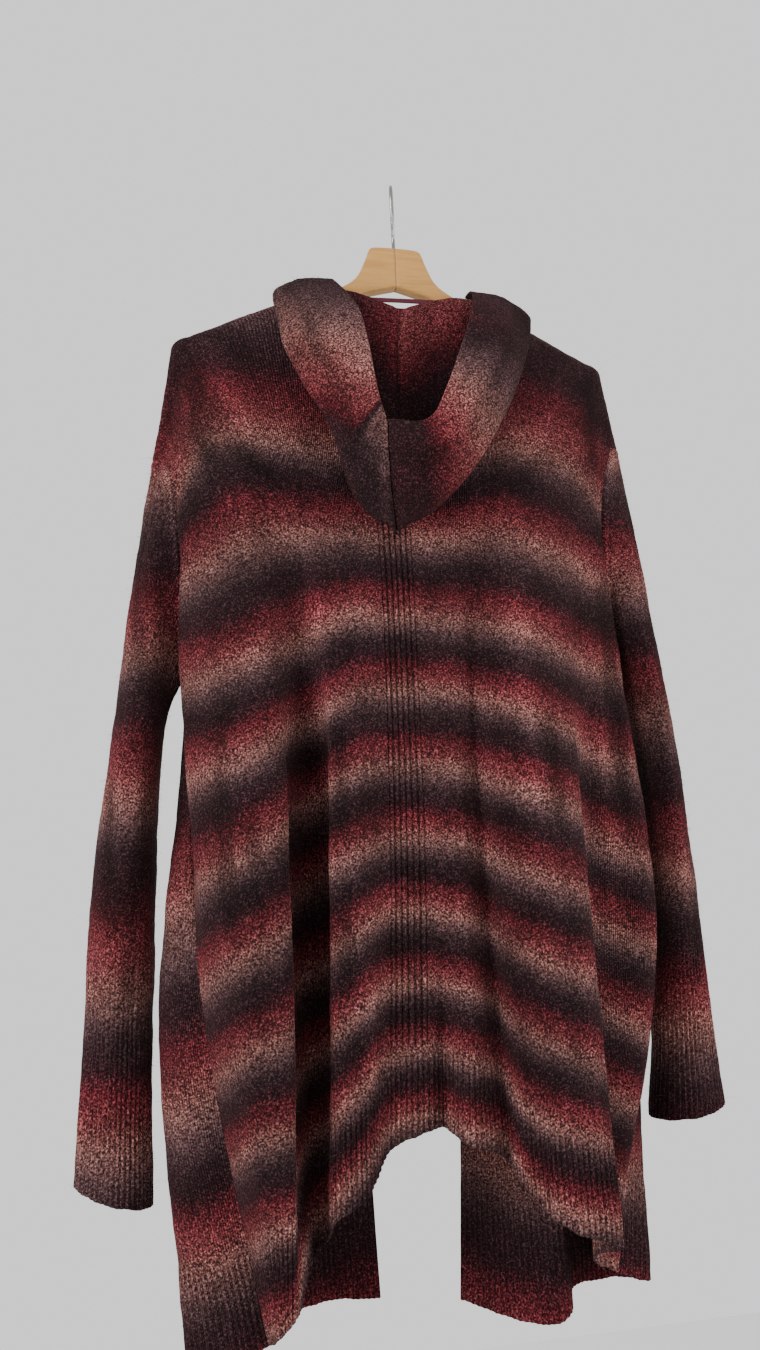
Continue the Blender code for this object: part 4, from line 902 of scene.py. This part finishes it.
def sleeve_grid(side, back_edge, front_edge, body):
    """Rings from the armhole to the cuff's rim, front edge last."""
    table = np.array(SLEEVE_SECTIONS[side])
    loop = np.concatenate([back_edge, front_edge[-2:0:-1]])
    turn = pi * np.interp(ROWS[:UNDERARM + 1], ARMHOLE_COURSES, np.linspace(0, 1, len(ARMHOLE_COURSES)))
    angles = np.concatenate([turn, 2 * pi - turn[-2:0:-1]])

    def tube(w):
        out_x, out_z, in_x, in_z, mid_y, depth = through(table[:, 1:], table[:, 0], w)
        outer = np.array([out_x, mid_y, out_z])
        inner = np.array([in_x, mid_y, in_z])
        ring = (outer + inner) / 2 + (outer - inner) / 2 * np.cos(angles)[:, None]
        ring[:, 1] -= depth * np.sin(angles)
        return ring

    sign = -1.0 if side == "left" else 1.0
    settled = tube(SLEEVE_SETTLE)
    lead = settled - (tube(SLEEVE_SETTLE + 0.01) - tube(SLEEVE_SETTLE - 0.01)) * 20 * SLEEVE_SETTLE
    around = (1 - np.cos(angles)) / 2
    reach = np.interp(around, (0.0, 0.5, 1.0), (0.004, 0.026, 0.020))
    droop = np.interp(around, (0.0, 0.5, 1.0), (0.030, 0.008, 0.010))
    start = loop + np.stack([sign * reach, 0 * reach, -droop], axis=1)
    rings = []
    for w in SLEEVE_ALONG:
        u = w / SLEEVE_SETTLE
        v = 1 - u
        curve = loop * v ** 3 + start * 3 * u * v * v + lead * 3 * u * u * v + settled * u ** 3
        rings.append(curve if u < 1 else tube(w))
    rings = np.array(rings)
    push = np.zeros(rings.shape[:2])
    for r, ring in enumerate(rings):
        for c, point in enumerate(ring):
            hit = body.ray_cast(Vector((sign, point[1], point[2])), Vector((-sign, 0.0, 0.0)))[0]
            if hit is not None:
                push[r, c] = max(abs(hit[0]) + KNIT + SLEEVE_ROOM - abs(point[0]), 0.0)
    push = soften(push) * ease(SLEEVE_ALONG / SLEEVE_GAIN)[:, None] * ease((around - 0.15) / 0.3)[None]
    rings[..., 0] += sign * push
    return rings


def soften(field, reach=3):
    """Widen the high places of a field on a closed tube, then smooth it."""
    for best in (True, False):
        tall = np.concatenate([field[:1]] * reach + [field] + [field[-1:]] * reach)
        parts = [tall[i:i + len(field)] for i in range(2 * reach + 1)]
        field = np.max(parts, axis=0) if best else np.mean(parts, axis=0)
        parts = [np.roll(field, i, axis=1) for i in range(-reach, reach + 1)]
        field = np.max(parts, axis=0) if best else np.mean(parts, axis=0)
    return field


def body_surface(*grids):
    """The middle of the body's cloth, for measuring the sleeves' room."""
    points, faces = [], []
    for grid in grids:
        rows, cols = grid.shape[:2]
        first = len(points)
        points += [Vector(p) for p in grid.reshape(-1, 3)]
        for r in range(rows - 1):
            for c in range(cols - 1):
                at = first + r * cols + c
                faces.append((at, at + 1, at + cols + 1, at + cols))
    return BVHTree.FromPolygons(points, faces)


def seam_ease(distance):
    """A sewn seam: a groove on the line and a soft ridge beside it."""
    height, wide, out = SEAM_RIDGE
    depth, narrow = SEAM_GROOVE
    return height * np.exp(-((distance - out) / wide) ** 2) - depth * np.exp(-(distance / narrow) ** 2)


def uneven(row_count, count, across):
    """Slight waves of a free edge, growing over the last rows."""
    grow = np.linspace(0, 1, row_count) ** 6
    wave = np.array([noise.noise(Vector((a * 90.0, row_count * 1.0, 0.3))) for a in across[:count]])
    return FREE_EDGE_WAVE * grow[:, None] * wave[None]


def build_body():
    back, left, right = back_and_fronts()
    rib_a, rib_b = RIB_LEFT * STEPS, RIB_RIGHT * STEPS
    neck_a, neck_b = NECK_LEFT * STEPS, NECK_RIGHT * STEPS
    surface = body_surface(back, left, right)
    edges = {"left": (back[:UNDERARM + 1, 0], left[:UNDERARM + 1, 0]),
             "right": (back[:UNDERARM + 1, -1], right[:UNDERARM + 1, 0])}
    sleeves = {side: sleeve_grid(side, *pair, surface) for side, pair in edges.items()}

    def beyond_side(sleeve, next_wale, from_back):
        """What lies beyond a body panel's side edge: sleeve, then side seam."""
        ring = sleeve[1]
        edge = ring[:UNDERARM + 1] if from_back else np.concatenate([ring[:1], ring[:UNDERARM - 1:-1]])
        out = np.array(next_wale)
        out[:UNDERARM] = edge[:UNDERARM]
        return out

    above_back = np.array(back[0])
    above_back[:neck_a + 1] = left[1]
    above_back[neck_b:] = right[1][::-1]
    inner_neck = slice(neck_a + 1, neck_b)
    above_back[inner_neck] = 2 * back[0, inner_neck] - back[1, inner_neck]
    normals = grid_normals(back, above=above_back,
                           before=beyond_side(sleeves["left"], left[:, 1], True),
                           after=beyond_side(sleeves["right"], right[:, 1], True))
    normal_left = grid_normals(left, above=back[1, :neck_a + 1],
                               before=beyond_side(sleeves["left"], back[:, 1], False))
    normal_right = grid_normals(right, above=back[1, neck_b:][::-1],
                                before=beyond_side(sleeves["right"], back[:, -2], False))
    chest = UNDERARM - 8
    normals = -normals if normals[chest, rib_a, 1] > 0 else normals
    normal_left = -normal_left if normal_left[chest, -2, 1] < 0 else normal_left
    normal_right = -normal_right if normal_right[chest, -2, 1] < 0 else normal_right
    stripes = {"back": back_stripes(back[..., 2]), "left": front_stripes("left", left.shape[1]),
               "right": front_stripes("right", right.shape[1])}
    shoulder_seam = seam_ease(np.linalg.norm(back - back[:1], axis=2).mean(axis=1))

    def panel(node, grid, facing, bands, first, last, slot, free=()):
        """The plain part of a panel, from the shoulder to its hem rib."""
        a, b = max(first - 1, 0), min(last + 2, grid.shape[1])
        cut, out, k = (x[:RIB_ROW + 2, a:b] for x in (grid, facing, bands))
        across = lengths_across(grid[UNDERARM])[a:b]
        along = lengths_along(grid)[:RIB_ROW + 2]
        raised = relief(cut) + shoulder_seam[:RIB_ROW + 2, None]
        shell(node, cut, raised, across, along, k, node, slot, free, facing=out,
              trim=(0, 1, first - a, b - 1 - last))

    def ribbed(node, grid, facing, bands, first, last, slot, top, free=()):
        """A ribbed part of a panel, with columns fine enough for its ribs."""
        width = lengths_across(grid[UNDERARM if top == 0 else RIB_ROW, first:last + 1])
        count = max(int(round(width[-1] / RIB_PITCH)), 1) * RIB_COLUMNS
        where = np.interp(np.linspace(0, width[-1], count + 1), width, np.arange(last + 1 - first)) + first
        start = max(top - 1, 0)
        stop = RIB_ROW + 2 if top == 0 else grid.shape[0]
        cut, out, k = (read_across(x[start:stop], where, smooth=False) for x in (grid, facing, bands))
        out = unit(out)
        across = np.linspace(0, width[-1], count + 1)
        whole = lengths_along(grid)
        along = whole[start:stop]
        raised = relief(cut)
        if top == 0:
            strength = 0.8 + 0.4 * ease((along - 0.05) / 0.2)
            raised = raised + shoulder_seam[:stop, None]
        else:
            strength = ease((along - whole[top]) / 0.016)
            cut = cut + np.stack([0 * raised, 0 * raised, uneven(len(cut), count + 1, across)], axis=2)
        sunk = HEM_SUNK if top else INSERT_SUNK
        raised = raised + RIB_RAISE * (ribs(across)[None] - sunk) * strength[:, None]
        shell(node, cut, raised, across + lengths_across(grid[UNDERARM])[first], along, k, node, slot, free,
              facing=out, trim=(top - start, 1 if top == 0 else 0, 0, 0))

    b, nb = stripes["back"], normals
    end = back.shape[1] - 1
    panel("back_left", back, nb, b, 0, rib_a, "knit_red")
    panel("back_right", back, nb, b, rib_b, end, "knit_red")
    ribbed("back_rib_insert", back, nb, b, rib_a, rib_b, "knit_dark", 0)
    ribbed("hem_back_left", back, nb, b, 0, rib_a, "knit_dark", RIB_ROW, ("bottom",))
    ribbed("hem_back_centre", back, nb, b, rib_a, rib_b, "knit_dark", RIB_ROW, ("bottom",))
    ribbed("hem_back_right", back, nb, b, rib_b, end, "knit_dark", RIB_ROW, ("bottom",))
    fronts = {"left": (left, normal_left), "right": (right, normal_right)}
    for side, (grid, facing) in fronts.items():
        panel("front_" + side, grid, facing, stripes[side], 0, grid.shape[1] - 1, "knit_rose", ("last",))
    for side, (grid, facing) in fronts.items():
        ribbed("hem_front_" + side, grid, facing, stripes[side], 0, grid.shape[1] - 1, "knit_red", RIB_ROW,
               ("bottom", "last"))

    for side, rings in sleeves.items():
        edge = 1 if side == "left" else -2
        front = left if side == "left" else right
        above = np.concatenate([back[:UNDERARM + 1, edge], front[UNDERARM - 1:0:-1, 1]])
        facing = grid_normals(rings, above=above, closed=True)
        outward = rings[40, 0, 0] - rings[40, UNDERARM, 0]
        if facing[40, 0, 0] * outward < 0:
            facing = -facing
        build_sleeve(side, rings, facing)


def build_sleeve(side, rings, facing):
    cuff_row = SLEEVE_COUNTS[0] + SLEEVE_COUNTS[1]
    girth = lengths_across(rings[cuff_row], closed=True)
    count = int(round(girth[-1] / RIB_PITCH)) * RIB_COLUMNS
    where = np.interp(np.arange(count) / count * girth[-1], girth, np.arange(len(girth)))
    fine = read_across(rings, where, closed=True)
    out = unit(read_across(facing, where, closed=True))
    along = lengths_along(fine)
    heights, numbers = np.array(SLEEVE_STRIPES[side]).T
    bands = np.interp(-fine[..., 2], -heights, numbers)
    bands += np.maximum(heights[-1] - fine[..., 2], 0.0) / SLEEVE_REPEAT_LOW
    bands -= np.maximum(fine[..., 2] - heights[0], 0.0) / SLEEVE_REPEAT_HIGH
    strength = 0.15 + 0.85 * ease((along - along[cuff_row] + 0.11) / 0.12)
    around = ribs(np.arange(count) / count * girth[-1])
    raised = relief(fine) + RIB_RAISE * 1.1 * around[None] * strength[:, None]
    raised = raised - 0.3 * RIB_RAISE * strength[:, None] + seam_ease(along)[:, None]
    across = np.linspace(0, girth[-1], count + 1)
    fine = fine + np.stack([0 * raised, 0 * raised, uneven(len(fine), count, across) * 0.8], axis=2)
    tube, cuff = slice(0, cuff_row + 2), slice(cuff_row - 1, None)
    shell("sleeve_" + side, fine[tube], raised[tube], across, along[tube], bands[tube],
          "sleeve_" + side, "knit_red", closed=True, facing=out[tube], trim=(0, 1, 0, 0))
    shell("cuff_" + side, fine[cuff], raised[cuff], across, along[cuff], bands[cuff],
          "cuff_" + side, "knit_dark", ("bottom",), closed=True, facing=out[cuff], trim=(1, 0, 0, 0))


# ------------------------------------------------------------------- hood --
def neck_row(side):
    """The hood's neck seam: over the back neck and on to the shoulder."""
    out = []
    for d in NECK_STEPS["left" if side < 0 else "right"]:
        out.append(over_arm(side * d, -1)[0] + np.array([0.0, 0.0, HOOD_LIFT + 0.03 * max(d - 0.053, 0.0)]))
    out.append(shoulder(side * NECK_HALF)[0] + np.array([side * 0.0020, -0.0025, 0.0070]))
    return np.array(out)


def hood_grid(side, table):
    first = neck_row(-1.0 if side == "left" else 1.0)
    wide = []
    for r, row in enumerate(table):
        coarse = refine(row[1:], HOOD_COARSE)
        if r == 0:
            coarse[:len(first)] = first
        wide.append(refine(coarse, HOOD_FINE))
    wide = np.array(wide)
    tall = [refine(wide[:, j], HOOD_COARSE * HOOD_FINE) for j in range(wide.shape[1])]
    return np.array(tall).swapaxes(0, 1)


def hood_stripes(side, rows, cols):
    """Stripe numbers on one half of the hood, by row and column."""
    chart = np.array(HOOD_STRIPES[side])
    down = np.linspace(0, len(HOOD_ROWS[side]) - 1, rows)
    across = np.linspace(0, HOOD_STRIPE_COLUMNS[-1], cols)
    tall = [np.interp(down, chart[:, 0], column) for column in chart[:, 1:].T * STRIPE_STEP]
    return np.array([np.interp(across, HOOD_STRIPE_COLUMNS, row) for row in np.array(tall).T])


def build_hood():
    for side, table in HOOD_ROWS.items():
        grid = hood_grid(side, table)
        mirrored = grid * np.array([-1.0, 1.0, 1.0])
        seam_x, crown_x = grid[:, 0, 0], grid[-1, :, 0]
        other = mirrored[:, 1] + np.stack([2 * seam_x, 0 * seam_x, 0 * seam_x], axis=1)
        over = mirrored[-2] + np.stack([2 * crown_x, 0 * crown_x, 0 * crown_x], axis=1)
        facing = grid_normals(grid, before=other, below=over)
        if facing[-2, -2, 1] > 0:
            facing = -facing
        rows, cols = grid.shape[:2]
        bands = hood_stripes(side, rows, cols)
        split = HOOD_SPLIT * HOOD_COARSE * HOOD_FINE
        across = lengths_across(grid[rows // 2])
        along = lengths_along(grid)
        raised = relief(grid) + seam_ease(across)[None] + seam_ease(along[-1] - along)[:, None]
        fold = across - across[split]
        raised = raised + (0.0009 * ease((fold + 0.0015) / 0.003) * (fold < 0.5))[None]
        shell("hood_" + side, grid[:, :split + 2], raised[:, :split + 2], across, along, bands[:, :split + 2],
              "hood_" + side, "knit_rose", facing=facing[:, :split + 2], trim=(0, 0, 0, 1))
        shell("hood_band_" + side, grid[:, split - 1:], raised[:, split - 1:], across[split - 1:], along,
              bands[:, split - 1:], "hood_band_" + side, "knit_dark", ("last",),
              facing=facing[:, split - 1:], trim=(0, 0, 1, 0))


def build_tape():
    """The narrow ribbon straight across the back of the neck."""
    share = np.linspace(-1.0, 1.0, 81)
    columns = np.stack([0.058 * share, -0.0078 + 0.0016 * share ** 2, -0.1310 + 0.002 * share], axis=1)
    twist = radians(20) * (1 - share ** 2)
    way = np.stack([0 * twist, -np.sin(twist), -np.cos(twist)], axis=1) * TAPE_WIDTH / 2
    grid = np.array([columns + way * s for s in np.linspace(-1, 1, 7)])
    facing = grid_normals(grid)
    out = unit(facing) * TAPE_THICK / 2
    across = lengths_across(columns)
    points = np.concatenate([(grid + out).reshape(-1, 3), (grid - out).reshape(-1, 3)])
    rows, cols = grid.shape[:2]
    index = np.arange(rows * cols).reshape(rows, cols)
    faces = []
    for r in range(rows - 1):
        for c in range(cols - 1):
            quad = (index[r, c], index[r + 1, c], index[r + 1, c + 1], index[r, c + 1])
            faces.append(quad)
            faces.append(tuple(q + rows * cols for q in quad[::-1]))
    ring = list(index[0]) + list(index[1:, -1]) + list(index[-1, -2::-1]) + list(index[-2:0:-1, 0])
    for a, b in zip(ring, ring[1:] + ring[:1]):
        faces.append((a, b, b + rows * cols, a + rows * cols))
    mesh = bpy.data.meshes.new("neck_tape")
    mesh.from_pydata(points.tolist(), [], [tuple(int(i) for i in f) for f in faces])
    layer = mesh.uv_layers.new(name="cloth")
    for loop in mesh.loops:
        at = loop.vertex_index % (rows * cols)
        layer.data[loop.index].uv = (across[at % cols], (at // cols) / (rows - 1) * TAPE_WIDTH)
    add_piece(mesh, "neck_tape", "tape")


# ----------------------------------------------------------------- hanger --
def add_piece(mesh, node, slot, name=None):
    """Link one smooth mesh as a piece, in the place of its node if it has one."""
    mesh.shade_smooth()
    mesh.materials.append(MATERIALS[slot])
    obj = bpy.data.objects.new(name or node + "_" + slot, mesh)
    bpy.context.scene.collection.objects.link(obj)
    if node:
        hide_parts(node)
    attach(obj, "root")
    return obj


def rounded_section(bottom, top, thick, corner, per_corner=6):
    """Points round a rectangle with round corners, in depth and height."""
    out = []
    centres = ((thick / 2 - corner, top - corner, 0), (-thick / 2 + corner, top - corner, 90),
               (-thick / 2 + corner, bottom + corner, 180), (thick / 2 - corner, bottom + corner, 270))
    for y, z, start in centres:
        for i in range(per_corner):
            a = radians(start + 90 * i / (per_corner - 1))
            out.append((y + corner * cos(a), z + corner * sin(a)))
    return out


def build_arm(side_name, side):
    outline = refine(ARM_OUTLINE, 5)
    end, top, bottom = ARM_OUTLINE[-1]
    sections = [(out, t, b, WOOD_THICK, WOOD_ROUND) for out, t, b in outline]
    for share in (0.35, 0.65, 0.86, 0.97):
        close = 1 - (1 - share ** 2) ** 0.5
        sections.append((end + 0.0042 * share, top - 0.0035 * close, bottom + 0.0025 * close,
                         WOOD_THICK - 0.006 * close, WOOD_ROUND))
    rings = []
    for out, t, b, thick, corner in sections:
        rings.append([(side * out, arm_depth(out) + y, z) for y, z in rounded_section(b, t, thick, corner)])
    count = len(rings[0])
    points = [p for ring in rings for p in ring]
    faces = [tuple(range(count)), tuple(range(len(points) - 1, len(points) - count - 1, -1))]
    for r in range(len(rings) - 1):
        for i in range(count):
            n = (i + 1) % count
            faces.append((r * count + i, (r + 1) * count + i, (r + 1) * count + n, r * count + n))
    if side < 0:
        faces = [f[::-1] for f in faces]
    mesh = bpy.data.meshes.new("hanger_arm_" + side_name)
    mesh.from_pydata(points, [], faces)
    obj = add_piece(mesh, "hanger_arm_" + side_name, "wood")
    for polygon in mesh.polygons[:2]:
        polygon.use_smooth = False
    mesh.update()


def tube_mesh(name, path, radius, sides=16):
    """A round wire along a path, its ends rounded over."""
    path = np.array(path)
    way = unit(np.gradient(path, axis=0))
    side = unit(np.cross(way[0], (0.31, 0.95, 0.04)))
    points, rings = [], []
    caps = ((0.0, 0.30), (0.45, 0.75), (0.80, 0.95))
    stations = [(path[0] - way[0] * radius * (1 - a) * 0.8, way[0], r) for a, r in caps]
    stations += [(p, w, 1.0) for p, w in zip(path, way)]
    stations += [(path[-1] + way[-1] * radius * (1 - a) * 0.8, way[-1], r) for a, r in reversed(caps)]
    for centre, direction, share in stations:
        side = unit(side - direction * (side @ direction))
        other = np.cross(direction, side)
        rings.append(len(points))
        for i in range(sides):
            a = 2 * pi * i / sides
            points.append(tuple(centre + (side * cos(a) + other * sin(a)) * radius * share))
    faces = [tuple(range(sides))[::-1], tuple(range(len(points) - sides, len(points)))]
    for r in rings[:-1]:
        for i in range(sides):
            n = (i + 1) % sides
            faces.append((r + i, r + n, r + sides + n, r + sides + i))
    mesh = bpy.data.meshes.new(name)
    mesh.from_pydata(points, [], faces)
    return mesh


def build_hook():
    """Bent wire: a stem out of the wood, a shoulder bend and an open loop."""
    middle = HOOK_LOOP + HOOK_WIRE
    stem = [(0.0, ARM_OUTLINE[0][1] + 0.0005), (0.0, -0.058), (-0.004, -0.050), (-0.013, -0.040)]
    start, stop, count = radians(205), radians(-35), 18
    loop = [(middle * cos(start + (stop - start) * i / count),
             middle * sin(start + (stop - start) * i / count) - HOOK_LOOP) for i in range(count + 1)]
    path = refine([(u * cos(HOOK_TURN), u * sin(HOOK_TURN), z) for u, z in stem + loop], 5)
    obj = add_piece(tube_mesh("hanger_hook", path, HOOK_WIRE), "hanger_hook", "steel")


# ------------------------------------------------------------------- fuzz --
def build_fuzz(count):
    """Loose fibres that stand off the cloth, most of them short."""
    random = np.random.default_rng(7)
    sizes = np.array([len(s[0]) for s in SURFACES], float)
    pick = random.choice(len(SURFACES), count, p=sizes / sizes.sum())
    points, faces, bands = [], [], []
    for source in pick:
        place, facing, stripes = SURFACES[source]
        i = random.integers(len(place))
        long = random.random() < 0.06
        length = random.uniform(0.006, 0.012) if long else random.uniform(0.0022, 0.0055)
        way = unit(facing[i] * random.uniform(0.5, 1.0) + random.normal(0, 0.55, 3))
        bend = random.normal(0, 0.5, 3) + np.array([0.0, 0.0, -0.35])
        radius = random.uniform(0.00007, 0.00013)
        side = unit(np.cross(way, (0.37, 0.61, 0.70)))
        other = np.cross(way, side)
        base = len(points)
        steps = 4 if long else 3
        for s in range(steps):
            share = s / (steps - 1)
            centre = place[i] + way * length * share + bend * length * 0.5 * share ** 2
            thin = radius * (1 - 0.6 * share)
            for a in (0.0, 2 * pi / 3, 4 * pi / 3):
                points.append(centre + (side * cos(a) + other * sin(a)) * thin)
                bands.append(stripes[i])
        for s in range(steps - 1):
            for k in range(3):
                n = (k + 1) % 3
                at = base + s * 3
                faces.append((at + k, at + n, at + 3 + n, at + 3 + k))
        faces.append((base + 2, base + 1, base))
        faces.append((base + steps * 3 - 3, base + steps * 3 - 2, base + steps * 3 - 1))
    mesh = bpy.data.meshes.new("yarn_fuzz")
    mesh.from_pydata([tuple(p) for p in points], [], faces)
    layer = mesh.uv_layers.new(name="course")
    bands = np.array(bands)
    vertices = np.zeros(len(mesh.loops), int)
    mesh.loops.foreach_get("vertex_index", vertices)
    layer.data.foreach_set("uv", np.stack([bands[vertices], 0 * bands[vertices]], axis=1).reshape(-1))
    obj = add_piece(mesh, None, "fuzz", name="yarn_fuzz")


# ------------------------------------------------------------------ stage --
def stage_material():
    s = Shader("pale_ground")
    place = s.node("ShaderNodeTexCoord").outputs["Object"]
    cloud = s.noise(place, (1.2, 1.2, 1.2), 3.0)
    colour = s.ramp(cloud, ((0.30, (0.70, 0.70, 0.70)), (0.70, (0.74, 0.74, 0.735))))
    return s.finish(colour, 0.8, Specular_IOR_Level=0.2)


def build_stage():
    mesh = bpy.data.meshes.new("floor")
    corners = [(x * FLOOR_HALF, y * FLOOR_HALF, FLOOR_Z) for x, y in ((-1, -1), (1, -1), (1, 1), (-1, 1))]
    mesh.from_pydata(corners, [], [(0, 1, 2, 3)])
    floor = bpy.data.objects.new("floor", mesh)
    mesh.materials.append(stage_material())
    bpy.context.scene.collection.objects.link(floor)


def add_light(name, place, target, size, power, colour):
    data = bpy.data.lights.new(name, "AREA")
    data.shape, data.size, data.energy, data.color = "DISK", size, power, colour
    obj = bpy.data.objects.new(name, data)
    obj.location = place
    obj.rotation_euler = (Vector(target) - Vector(place)).to_track_quat("-Z", "Y").to_euler()
    obj.visible_camera = False
    bpy.context.scene.collection.objects.link(obj)


def light_and_camera():
    world = bpy.data.worlds.new("room")
    world.use_nodes = True
    background = world.node_tree.nodes["Background"]
    background.inputs[0].default_value = WORLD_COLOUR
    background.inputs[1].default_value = WORLD_LIGHT
    bpy.context.scene.world = world
    for name, place, *rest in LIGHTS:
        add_light(name, place, LIGHT_TARGET, *rest)
    data = bpy.data.cameras.new("camera")
    data.lens, data.sensor_width = CAMERA_LENS, CAMERA_SENSOR
    camera = bpy.data.objects.new("camera", data)
    camera.matrix_world = (Matrix.Translation(CAMERA_PLACE)
                           @ Matrix.Rotation(radians(CAMERA_HEADING), 4, "Z")
                           @ Matrix.Rotation(radians(90 + CAMERA_TILT), 4, "X")
                           @ Matrix.Rotation(radians(CAMERA_ROLL), 4, "Z"))
    bpy.context.scene.collection.objects.link(camera)
    bpy.context.scene.camera = camera


SLEEVE_COUNTS = (36, 72, 18)
SLEEVE_ALONG = spread((0.0, SLEEVE_SETTLE, CUFF_TOP, 1.0), SLEEVE_COUNTS)
FUZZ_COUNT = 9000
FLOOR_Z = -1.75
FLOOR_HALF = 1.5
CAMERA_PLACE = (-0.2134, -0.9129, -0.7112)
CAMERA_HEADING, CAMERA_TILT, CAMERA_ROLL = -11.3, 11.5, -2.1
CAMERA_LENS, CAMERA_SENSOR = 26.67, 36.0         # in millimetres
LIGHT_TARGET = (0.0, 0.0, -0.55)
WORLD_COLOUR = (1.0, 1.0, 1.0, 1.0)
WORLD_LIGHT = 1.12
LIGHTS = (
    # name, place, size, power, colour
    ("key", (-1.5, -0.9, 0.1), 1.0, 32.0, (0.98, 0.985, 1.0)),
    ("fill", (1.4, -0.8, -0.3), 1.0, 16.0, (0.99, 0.99, 1.0)),
    ("left side", (-0.95, -0.55, -0.75), 0.5, 7.0, (0.97, 0.98, 1.0)),
    ("right side", (0.95, -0.50, -0.70), 0.5, 6.0, (1.0, 0.99, 0.98)),
    ("behind", (0.4, 2.2, 0.8), 1.8, 14.0, (1.0, 1.0, 1.0)),
)

build_arm("left", -1.0)
build_arm("right", 1.0)
build_hook()
build_tape()
build_body()
build_hood()
build_fuzz(FUZZ_COUNT)
build_stage()
light_and_camera()
